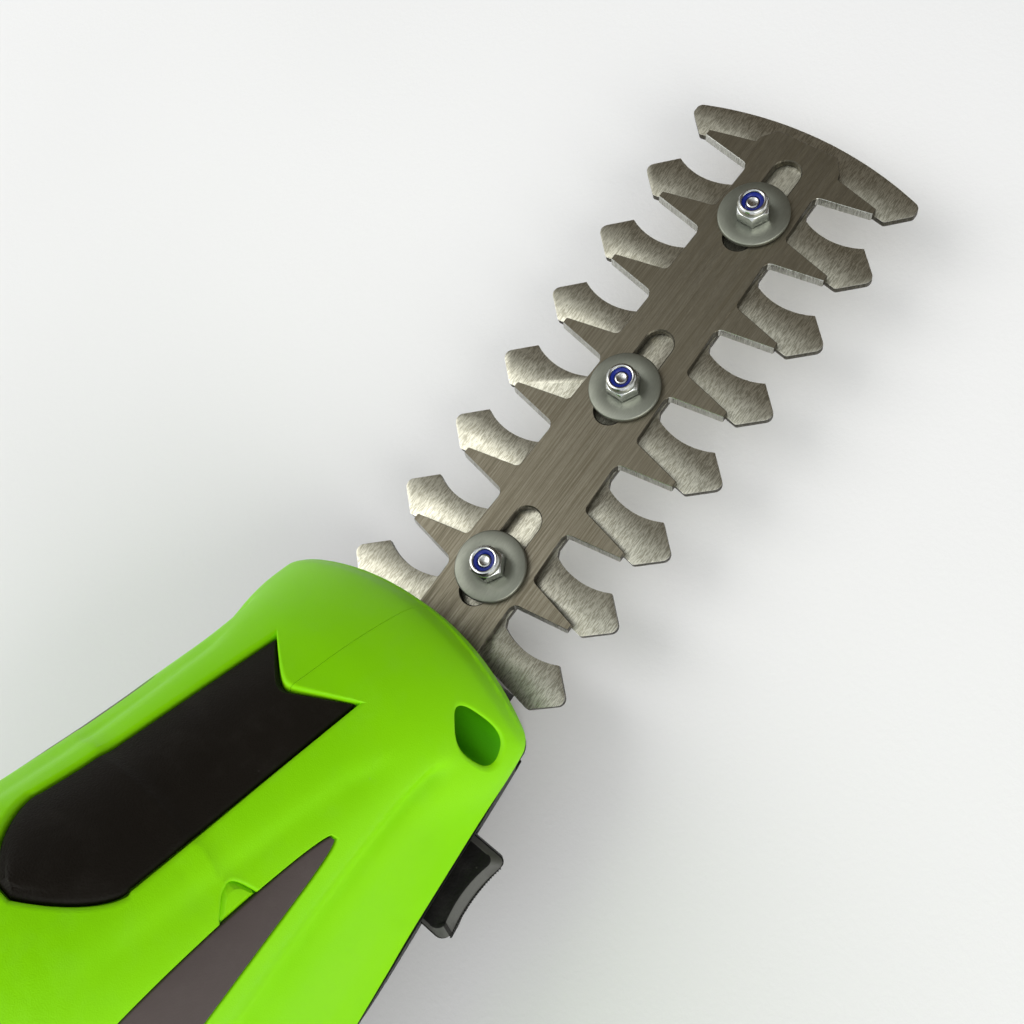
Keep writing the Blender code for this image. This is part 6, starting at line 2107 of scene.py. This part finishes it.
@dataclass
class LowerHousing:
    """The black tub under the shells.

    Attributes:
        finishes: The materials.
        wall: Its wall.
        recess: How far it lies inside the shells' edge.
        draft: Its draft.
        corner: Radius of its bottom edge.
        gap: Gap under the shells.
        land_height: Height of the raised land under the floor.
        front_back: How far the front stands back under the hood.
        mouth_low: Lower side of the blade pack's slot.
        mouth_high: Upper side of the slot.
        mouth_half: Half of the slot's width, in millimetres.
    """

    finishes: Finishes
    wall: float = 2.2 * MM
    recess: float = 0.05 * MM
    draft: float = 0.24
    corner: float = 2.4 * MM
    gap: float = 0.3 * MM
    land_height: float = 0.8 * MM
    front_back: float = 0.7 * MM
    mouth_low: float = 13.9 * MM
    mouth_high: float = 19.2 * MM
    mouth_half: float = 16.0

    def outline(self, inset: float) -> np.ndarray:
        """Outline of the base, inset from the shells' edge, from the right rear round the nose.

        Args:
            inset: Distance inwards from the shells' edge.

        Returns:
            Its points, row by row.
        """
        share = (FORM.length - 2 * inset) / FORM.length
        d = np.concatenate([np.linspace(0, 190, 70), np.linspace(192, 201, 10),
                            np.linspace(201.5, 205, 10)]) * MM * share + inset
        half = np.maximum(np.interp(d, FORM.base_grid, FORM.base_half) - inset, 2 * MM)
        nose_y = np.linspace(half[0], -half[0], 41)[1:-1]
        ds = np.concatenate([d[::-1], np.full(39, inset), d])
        ys = np.concatenate([half[::-1], nose_y, -half])
        xs = NOSE_X - ds - FORM.bow_at(ds) * (ys / FORM.nose_half) ** 2
        outline = np.stack([xs, ys], 1)
        near = xs > NOSE_X - FORM.bow - 5 * MM
        for _ in range(8):
            softer = (np.roll(outline, 1, 0) + np.roll(outline, -1, 0)) / 4 + outline / 2
            outline[near] = softer[near]
        outline[near, 0] -= self.front_back
        return outline

    def rings(self, inset: float, low: float, high: float, corner: float) -> list[np.ndarray]:
        """Rings from the rounded bottom edge up.

        Args:
            inset: Distance inwards.
            low: Height of the lowest ring.
            high: Height of the highest.
            corner: Radius of the bottom edge.

        Returns:
            The rings.
        """
        levels = [(low + corner * (1 - math.sin(a)), corner * (1 - math.cos(a)))
                  for a in np.radians(np.linspace(90, 0, 7))]
        levels += [(z, 0.0) for z in np.linspace(low + corner, high, 6)[1:]]
        rings = []
        for z, extra in levels:
            flat = self.outline(self.recess + self.draft * (FORM.split - z) + inset + extra)
            rings.append(np.column_stack([flat, np.full(len(flat), z)]))
        return rings

    def build(self) -> None:
        """Build and dress the housing."""
        top = FORM.split - self.gap
        housing = Loops.tube("housing_tub", self.rings(0.0, self.land_height, top, self.corner))
        inside = self.rings(self.wall, self.wall, top, self.corner / 2)
        lid = inside[-1].copy()
        lid[:, 2] += 2 * MM
        Bench.combine(housing, [Loops.tube("inside", inside + [lid])])
        floor = self.wall / 2 / MM
        adds = [Bench.block("land", at(172, -13.5), at(18, 13.5, self.land_height / MM + 1))]
        cuts = []
        front, rear = ((NOSE_X - x) / MM for x in (ReleaseButtons.front, ReleaseButtons.rear))
        for side in (-1, 1):
            adds.append(Bench.block("rail", at(53, side * 8.5, floor), at(4, side * 13.7, 14.2)))
            adds.append(Bench.block("post", at(41, side * 14.6, floor), at(31, side * 16.1, 25)))
            for d in (21.5, 75.0):
                adds.append(Bench.cylinder("drive_post", 3.2 * MM, floor * MM, 32.7 * MM, at(d, side * 19.8),
                                           Axis.Z, 24))
            cuts.append(Bench.block("window", at(rear + 0.3, side * 22, 15.2),
                                    at(front - 0.3, side * 36, 24.8), 0.5 * MM))
        end = FORM.length / MM
        adds.append(Bench.block("cradle", at(end - 10, -4.2, floor), at(end - 14, 4.2, 13)))
        cuts.append(Bench.cylinder("socket_hole", 4.5 * MM, -MM, 15 * MM, at(end, 0, 14), Axis.X))
        for spot in BASE_SCREWS:
            here = at(*spot)
            adds.append(Bench.cylinder("tower", TOWER_RADIUS, floor * MM, top, here, Axis.Z, 32))
            cuts.append(Bench.turned("counterbore", [(0, -1), (4.6, -1), (3.2, 1.6), (3.2, 9), (0, 9)], here))
            cuts.append(Bench.cylinder("base_hole", SCREW_HOLE, 8 * MM, top + MM, here, Axis.Z, 24))
        back = self.recess + self.draft * (FORM.split - self.mouth_low) + self.wall + MM
        half = self.mouth_half
        edge = [(NOSE_X - back - FORM.bow * (v / FORM.nose_half) ** 2, v)
                for v in np.linspace(-half, half, 17) * MM]
        cuts.append(Bench.prism("mouth", [at(-5, half)[:2], at(-5, -half)[:2]] + edge, self.mouth_low,
                                self.mouth_high))
        Bench.combine(housing, adds, "UNION")
        Bench.combine(housing, cuts)
        Bench.shade(housing, 30)
        Bench.done(housing, self.finishes.black, Body.HOUSING, Slot.TUB, "lower_housing")


@dataclass
class BladePack:
    """Guard blade, cutting blade and what holds them together.

    Attributes:
        finishes: The materials.
        pitch: Distance between teeth.
        teeth: Number of the guard's teeth before its end.
        first_tooth: Place of the first tooth along X.
        guard_half: Half of the guard's width between its teeth.
        guard_reach: How far the points of its teeth reach out.
        shoulder_reach: How far their shoulders reach out.
        shoulder_width: Width of a tooth at its shoulders.
        shoulder_front: How far the front shoulder lies ahead of the tooth's place.
        arc_depth: Depth of the bow in a tooth's front side.
        root_width: Width of a tooth at its root.
        end_radius: Radius of the guard's front end.
        end_length: Length of the end ahead of its shoulder.
        end_reach: Half of the end's width.
        guard_top: Height of the guard's upper face.
        guard_thickness: Its thickness.
        cutter_low: Height of the cutting blade's lower face.
        cutter_high: Height of its upper face.
        cutter_half: Half of its width between its teeth.
        cutter_reach: How far its teeth reach out.
        tip_width: Width of a cutting tooth at its tip.
        cutter_root: Width of a cutting tooth at its root.
        flank_draft: How far its rear flanks lean in towards the top.
        edge_round: Size of the upper edges' chamfer.
        slot_width: Width of the slots round the bolts.
        slot_length: Length of the slots.
        slot_lead: How far a slot's middle lies ahead of its bolt.
        first_bolt: Place of the first bolt along X.
        bolt_spacing: Distance between the bolts.
        bolts: Number of the bolts.
        bolt_hole: Radius of their holes.
        tang_back: Rear end of the guard's tang along X.
        tang_front: Front end of the tang.
        tang_half: Half of the tang's width.
        yoke_front: Front end of the cutting blade's yoke along X.
        yoke_length: Length of the yoke.
        yoke_half: Half of the yoke's width.
        clamp_screw: Place of the clamp screws behind the nose and beside the middle, in millimetres.
    """

    finishes: Finishes
    pitch: float = 16.5 * MM
    teeth: int = 7
    first_tooth: float = NOSE_X + 3.1 * MM
    guard_half: float = 8 * MM
    guard_reach: float = 27 * MM
    shoulder_reach: float = 21.5 * MM
    shoulder_width: float = 9.9 * MM
    shoulder_front: float = 2.8 * MM
    arc_depth: float = 1.5 * MM
    root_width: float = 7.6 * MM
    end_radius: float = 81 * MM
    end_length: float = 10.2 * MM
    end_reach: float = 25.6 * MM
    guard_top: float = 16 * MM
    guard_thickness: float = 1.5 * MM
    cutter_low: float = 16.3 * MM
    cutter_high: float = 17.9 * MM
    cutter_half: float = 7.75 * MM
    cutter_reach: float = 19.3 * MM
    tip_width: float = 1.7 * MM
    cutter_root: float = 5.6 * MM
    flank_draft: float = 0.42 * MM
    edge_round: float = 0.09 * MM
    slot_width: float = 6 * MM
    slot_length: float = 22.3 * MM
    slot_lead: float = 2.85 * MM
    first_bolt: float = NOSE_X + 13.2 * MM
    bolt_spacing: float = 43.3 * MM
    bolts: int = 3
    bolt_hole: float = 2.3 * MM
    tang_back: float = NOSE_X - 53 * MM
    tang_front: float = NOSE_X - 8 * MM
    tang_half: float = 13.6 * MM
    yoke_front: float = NOSE_X - 25.25 * MM
    yoke_length: float = 15 * MM
    yoke_half: float = 13.2 * MM
    clamp_screw: tuple[float, float] = (12.0, 11.1)

    def bolt_places(self) -> list[float]:
        """Places of the bolts along X."""
        return [self.first_bolt + i * self.bolt_spacing for i in range(self.bolts)]

    def tooth_x(self, number: int) -> float:
        """Place of a tooth along X."""
        return self.first_tooth + (number - 1) * self.pitch

    def guard_outline(self) -> Outline:
        """Outline of the guard blade with its blunt, five-sided teeth.

        Returns:
            The outline.
        """
        rear = self.shoulder_front - self.shoulder_width
        point = self.shoulder_front - self.shoulder_width / 2
        root_front = self.shoulder_front - 0.2 * MM
        root_rear = root_front - self.root_width
        half = [(self.tang_back, self.tang_half, 3 * MM), (self.tang_front, self.tang_half, 2 * MM),
                (self.tang_front + 3 * MM, self.guard_half, 2 * MM)]
        for number in range(1, self.teeth + 2):
            x = self.tooth_x(number)
            half += [(x + root_rear, self.guard_half, 1.6 * MM), (x + rear, self.shoulder_reach, 0.8 * MM)]
            if number > self.teeth:
                break
            shoulder = (x + self.shoulder_front, self.shoulder_reach)
            root = (x + root_front, self.guard_half + 0.7 * MM)
            half += [(x + point, self.guard_reach, 1.6 * MM), (*shoulder, 0.0)]
            half += bowed_edge(shoulder, root, self.arc_depth, 10)
            half += [(*root, 0.0), (x + root_front + 1.4 * MM, self.guard_half, 0.0)]
        tip = x + rear + self.end_length
        back = self.end_radius - math.sqrt(self.end_radius**2 - self.end_reach**2)
        half += [(x + rear + 3.8 * MM, self.end_reach, 1.0 * MM), (tip - back, self.end_reach, 1.4 * MM)]
        for share in np.linspace(0.94, 0.06, 15):
            y = share * self.end_reach
            half.append((tip - self.end_radius + math.sqrt(self.end_radius**2 - y**2), y, 0.0))
        return rounded(half + [(tip, 0.0, 0.0)] + [(x, -y, r) for x, y, r in reversed(half)])

    def cutter_corners(self) -> Corners:
        """Corners of the cutting blade with its narrow teeth and its yoke, each with its radius.

        Returns:
            The corners.
        """
        half = [(self.yoke_front - self.yoke_length, self.yoke_half, 2 * MM),
                (self.yoke_front, self.yoke_half, 2 * MM),
                (self.yoke_front + 3 * MM, self.cutter_half, 2 * MM)]
        for number in range(2, self.teeth + 2):
            foot = self.tooth_x(number) + self.shoulder_front - self.shoulder_width - 2.9 * MM
            half += [(foot, self.cutter_half, 1.4 * MM), (foot + 2 * MM, self.cutter_reach, 0.25 * MM),
                     (foot + 2 * MM + self.tip_width, self.cutter_reach, 0.25 * MM),
                     (foot + self.cutter_root + 0.5 * MM, self.cutter_half + 0.4 * MM, 1.2 * MM)]
        x = self.tooth_x(self.teeth + 1)
        half[-1] = (x - 4.2 * MM, 9.4 * MM, 0.6 * MM)
        half += [(x - 3.0 * MM, 9.2 * MM, 0.6 * MM), (x - 0.1 * MM, 6.8 * MM, 0.6 * MM)]
        return half + [(x, -y, r) for x, y, r in reversed(half)]

    def cutter_ring(self, flank: float, edge: float, z: float) -> np.ndarray:
        """Outline of the cutting blade at a height.

        Args:
            flank: How far the teeth's rear flanks lie inwards.
            edge: How far the other edges lie inwards.
            z: The height.

        Returns:
            The points.
        """
        corners = self.cutter_corners()
        moved = []
        for i, (x, y, radius) in enumerate(corners):
            lines = []
            for a, b in ((corners[i - 1], corners[i]), (corners[i], corners[(i + 1) % len(corners)])):
                way = Vector((b[0] - a[0], b[1] - a[1])).normalized()
                inward = Vector((way.y, -way.x))
                steep = abs(way.y) > 0.8 and max(abs(a[1]), abs(b[1])) > self.cutter_reach - MM
                offset = flank if steep and inward.x > 0 else edge
                lines.append((Vector((a[0], a[1])) + inward * offset, way, offset))
            (p, u, first), (q, v, last) = lines
            cross = u.x * v.y - u.y * v.x
            here = p + u * (((q - p).x * v.y - (q - p).y * v.x) / cross)
            change = (first + last) / 2 * (1 if cross > 0 else -1)
            moved.append((here.x, here.y, max(radius + change, 0.04 * MM)))
        return np.array([(x, y, z) for x, y in rounded(moved, 5)])

    def slot(self, middle: float) -> Object:
        """Build the cutter of one long slot, with a small chamfer at its top.

        Args:
            middle: Its middle along X.

        Returns:
            The cutter.
        """
        reach, half = self.slot_length / 2 - self.slot_width / 2, self.slot_width / 2
        rings = []
        for radius, z in ((half, self.cutter_low - MM), (half, self.cutter_high - 0.22 * MM),
                          (half + 0.27 * MM, self.cutter_high + 0.05 * MM), (half + 0.27 * MM, 21 * MM)):
            rings.append(np.array([(middle + side * (reach + radius * math.cos(a)),
                                    side * radius * math.sin(a), z)
                                   for side in (1, -1) for a in np.radians(np.linspace(-90, 90, 19))]))
        return Loops.tube("slot", rings)

    def paint(self, obj: Object, main: Material, ground: float, edges: int = 2) -> None:
        """Give the flanks and chamfers of a blade their own finishes; the dark sheared finish on them is
        partly painted shade along the edges.

        Args:
            obj: The blade.
            main: Finish of the flat faces.
            ground: Flanks that face back are bright further out than this.
            edges: Number of the finish of the chamfers.
        """
        for material in (main, self.finishes.ground, self.finishes.flank, self.finishes.bolt):
            obj.data.materials.append(material)
        for face in obj.data.polygons:
            if -0.25 <= face.normal.z < 0.97:
                bright = abs(face.center.y) > ground and face.normal.x < -0.3
                face.material_index = 1 if bright else edges if face.normal.z > 0.25 else 2

    def build_blades(self) -> None:
        """Build and dress the two blades."""
        guard = Bench.prism("guard_plate", self.guard_outline(), self.guard_top - self.guard_thickness,
                            self.guard_top)
        over = 30 * MM
        holes = [Bench.cylinder("hole", self.bolt_hole, 0, over, (x, 0, 0), Axis.Z, 32)
                 for x in self.bolt_places()]
        d, y = self.clamp_screw
        holes += [Bench.cylinder("hole", SCREW_HOLE, 0, over, at(d, side * y), Axis.Z, 24) for side in (-1, 1)]
        Bench.combine(guard, holes, solver="EXACT")
        Bench.bevel(guard, 0.14 * MM, 2, 50)
        self.paint(guard, self.finishes.guard, 1.0, 3)
        Bench.shade(guard, 25)
        Bench.done(guard, self.finishes.guard, Body.HOUSING, Slot.BLADE, "guard_blade")
        soft = self.edge_round
        cutter = Loops.tube("cutter_plate", [
            self.cutter_ring(0.0, 0.0, self.cutter_low),
            self.cutter_ring(self.flank_draft, 0.0, self.cutter_high - soft),
            self.cutter_ring(self.flank_draft + soft, soft, self.cutter_high)])
        Bench.split_caps(cutter)
        slots = [self.slot(x + self.slot_lead) for x in self.bolt_places()]
        slots.append(Bench.block("yoke_slot", at(35.65, -9.85, 10), at(29.85, 9.85, 24)))
        Bench.combine(cutter, slots, solver="EXACT")
        # The cutter's chamfers take the dark flank finish: painted shade over edges that would otherwise catch
        # the light.
        self.paint(cutter, self.finishes.cutter, self.cutter_half + 0.6 * MM)
        Bench.shade(cutter, 25)
        Bench.done(cutter, self.finishes.cutter, Body.BLADE, Slot.BLADE, "cutting_blade")

    def build_fasteners(self) -> None:
        """Build and dress the bolts, bushes, washers and nuts; their profiles are in millimetres."""
        done = self.finishes
        under = (self.guard_top - self.guard_thickness) / MM - 0.3
        low, high = self.cutter_low / MM, self.cutter_high / MM
        washer, rim, bore = high + 0.3, 7.1, self.bolt_hole / MM
        top = washer + 1
        seat = top + 0.05
        neck = seat + 2.85
        end = neck + 1.5
        bolt = [(0, under - 1.8), (2.9, under - 1.8), (3.7, under - 1.5), (4.2, under - 0.8), (4.2, under),
                (2, under), (2, neck - 0.6), (1.35, neck - 0.2), (1.35, end - 0.85), (1.2, end - 0.6),
                (1.0, end - 0.52), (0.85, end - 0.62), (0, end - 0.66)]
        bush = [(2.1, low), (2.7, low), (2.7, high), (2.1, high)]
        disc = [(bore, washer), (rim - 0.15, washer), (rim, washer + 0.15), (rim, top - 0.28),
                (rim - 0.08, top - 0.1), (rim - 0.3, top), (bore + 0.2, top), (bore, top - 0.2)]
        cone = [(0, seat - 1), (3.3, seat - 1), (3.6, seat + 0.25), (3.6, neck - 0.7), (3.1, neck),
                (2.9, neck + 0.1), (0, neck + 0.1)]
        collar = [(0, neck - 0.6), (2.98, neck - 0.6), (2.98, end - 0.8), (2.88, end - 0.35),
                  (2.65, end - 0.07), (2.4, end), (2.2, end - 0.06), (2.1, end - 0.25), (2.1, end + 1),
                  (0, end + 1)]
        hole = [(0, seat - 1), (bore, seat - 1), (bore, neck), (2.25, neck), (2.25, end - 0.6),
                (2.1, end - 0.25), (2.1, end + 2), (0, end + 2)]
        insert = [(1.4, neck + 0.1), (2.22, neck + 0.1), (2.22, end - 0.62), (1.95, end - 0.38),
                  (1.6, end - 0.42), (1.4, end - 0.6)]
        for i, x in enumerate(self.bolt_places()):
            here, number = (x, 0, 0), "_%d" % (i + 1)
            self.finish(Bench.turned("bolt" + number, bolt, here), done.bolt, 32, "blade_bolt" + number)
            self.finish(Bench.turned("bush" + number, bush, here, ring=True), done.zinc, 32,
                        "slot_bush" + number)
            self.finish(Bench.turned("washer" + number, disc, here, 72, True), done.zinc, 50,
                        "blade_washer" + number)
            nut = Bench.cylinder("nut" + number, 3.5 * MM, seat * MM, (neck + 0.2) * MM, here, Axis.Z, 6)
            Bench.combine(nut, [Bench.turned("cone", cone, here, 72)], "INTERSECT")
            Bench.bevel(nut, 0.1 * MM, 2, 30)
            Bench.combine(nut, [Bench.turned("collar", collar, here, 72)], "UNION")
            Bench.combine(nut, [Bench.turned("bore", hole, here, 72)])
            self.finish(nut, done.nut, 28, "lock_nut" + number)
            self.finish(Bench.turned("nylon_ring" + number, insert, here, ring=True), done.nylon, 32,
                        "nut_insert" + number, Slot.NYLON)

    @staticmethod
    def finish(piece: Object, material: Material, angle: float, node: str, slot: Slot = Slot.PLATED) -> None:
        """Smooth a fastener's edges below an angle and dress it."""
        Bench.shade(piece, angle)
        Bench.done(piece, material, Body.HOUSING, slot, node)

    def build(self) -> None:
        """Build the whole pack."""
        self.build_blades()
        self.build_fasteners()


@dataclass
class Studio:
    """Floor, light, background and camera.

    Attributes:
        camera_place: The camera's place.
        camera_turn: Its turn in degrees.
        lens: Its focal length in millimetres.
        floor_colour: Colour of the floor and of what the camera sees past it.
        sky: Colour of the light from above and behind.
        ahead: Colour of the light from ahead of the blade.
        below: Colour of the light from below.
        sky_strength: Strength of that light.
    """

    camera_place: tuple[float, float, float] = (0.04596, -0.07463, 0.2113)
    camera_turn: tuple[float, float, float] = (17.7077, 14.3030, -51.9646)
    lens: float = 38.29
    floor_colour: Colour = (0.86, 0.86, 0.86)
    sky: Colour = (0.93, 0.97, 1.0)
    ahead: Colour = (0.13, 0.105, 0.08)
    below: Colour = (0.42, 0.42, 0.41)
    sky_strength: float = 0.85

    def floor(self) -> None:
        """Add the pale floor."""
        bpy.ops.object.select_all(action="DESELECT")
        bpy.ops.mesh.primitive_plane_add(size=6, location=(0, 0, 0))
        floor = Bench.settle(bpy.context.object, "studio_floor")
        surface = Surface("floor_cloth")
        weave = surface.noise(surface.places(), 900.0, 3.0)
        tone = surface.spread(surface.noise(surface.places(), 6.0, 2.0), 0.3, 0.7)
        darker = tuple(c * 0.97 for c in self.floor_colour)
        surface.feed("Base Color", surface.mix(tone, self.floor_colour, darker))
        surface.feed("Roughness", 0.95)
        surface.feed("Specular IOR Level", 0.1)
        surface.bump((weave, 0.00005))
        floor.data.materials.append(surface.material)

    def world(self) -> None:
        """Light the surroundings: bright above and behind, dimmer and warmer ahead of the blade."""
        world = bpy.data.worlds.new("studio_world")
        bpy.context.scene.world = world
        world.use_nodes = True
        graph = Graph(world.node_tree)
        background = world.node_tree.nodes["Background"]
        split = graph.node("ShaderNodeSeparateXYZ")
        graph.link(graph.node("ShaderNodeTexCoord").outputs["Generated"], split.inputs[0])
        ahead = graph.spread(split.outputs["X"], -0.05, 0.42)
        colour = graph.mix(ahead, self.sky, self.ahead)
        below = graph.spread(split.outputs["Z"], 0.25, -0.1)
        colour = graph.mix(below, colour, self.below)
        path = graph.node("ShaderNodeLightPath")
        shade = graph.mix(path.outputs["Is Camera Ray"], colour, self.floor_colour)
        graph.link(shade, background.inputs["Color"])
        background.inputs["Strength"].default_value = self.sky_strength

    def lamp(self, name: str, place: Sequence[float], target: Sequence[float], size: float,
             power: float, colour: Colour) -> None:
        """Add a square soft light.

        Args:
            name: Its name.
            place: Its place.
            target: Where it points.
            size: Its side.
            power: Its power.
            colour: Its colour.
        """
        light = bpy.data.lights.new(name, "AREA")
        light.shape = "SQUARE"
        light.size, light.energy, light.color = size, power, colour
        obj = bpy.data.objects.new(name, light)
        bpy.context.scene.collection.objects.link(obj)
        obj.location = place
        obj.rotation_euler = (Vector(target) - Vector(place)).to_track_quat("-Z", "Y").to_euler()

    def build(self) -> None:
        """Build everything round the tool."""
        self.floor()
        self.world()
        self.lamp("key_light", (-0.35, 0.75, 0.95), (0.02, 0, 0.03), 0.9, 7.5, (1.0, 0.985, 0.96))
        self.lamp("fill_light", (-0.3, -1.0, 0.75), (0, 0, 0.03), 0.9, 9.0, (1.0, 0.99, 0.95))
        camera = bpy.data.cameras.new("photo_camera")
        camera.lens, camera.sensor_width = self.lens, 36.0
        camera.clip_start, camera.clip_end = 0.005, 20.0
        obj = bpy.data.objects.new("photo_camera", camera)
        bpy.context.scene.collection.objects.link(obj)
        obj.location = self.camera_place
        obj.rotation_euler = [math.radians(a) for a in self.camera_turn]
        bpy.context.scene.camera = obj
        view = bpy.context.scene.view_settings
        view.view_transform = "Standard"


def dress_nodes(finishes: Finishes) -> None:
    """Give every node the procedural material of its slot.

    Args:
        finishes: The materials.
    """
    for row in frame["record"]["subparts"]:
        obj = frame["nodes"][row["node"]]
        obj.data.materials.clear()
        obj.data.materials.append(finishes.of_slot(row["material_slot"]))


def plain(box: tuple[Vector, Vector]) -> list[list[float]]:
    """Turn a box into plain lists."""
    return [[round(value, 6) for value in corner] for corner in box]


def main() -> None:
    """Build the looks in order."""
    logging.basicConfig(level=logging.INFO, format="%(name)s: %(message)s")
    finishes = Finishes()
    dress_nodes(finishes)
    BladePack(finishes).build()
    LowerHousing(finishes).build()
    ReleaseButtons(finishes).build()
    Casing(finishes).build()
    Studio().build()
    bpy.ops.object.select_all(action="DESELECT")
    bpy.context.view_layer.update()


if __name__ == "__main__":
    main()
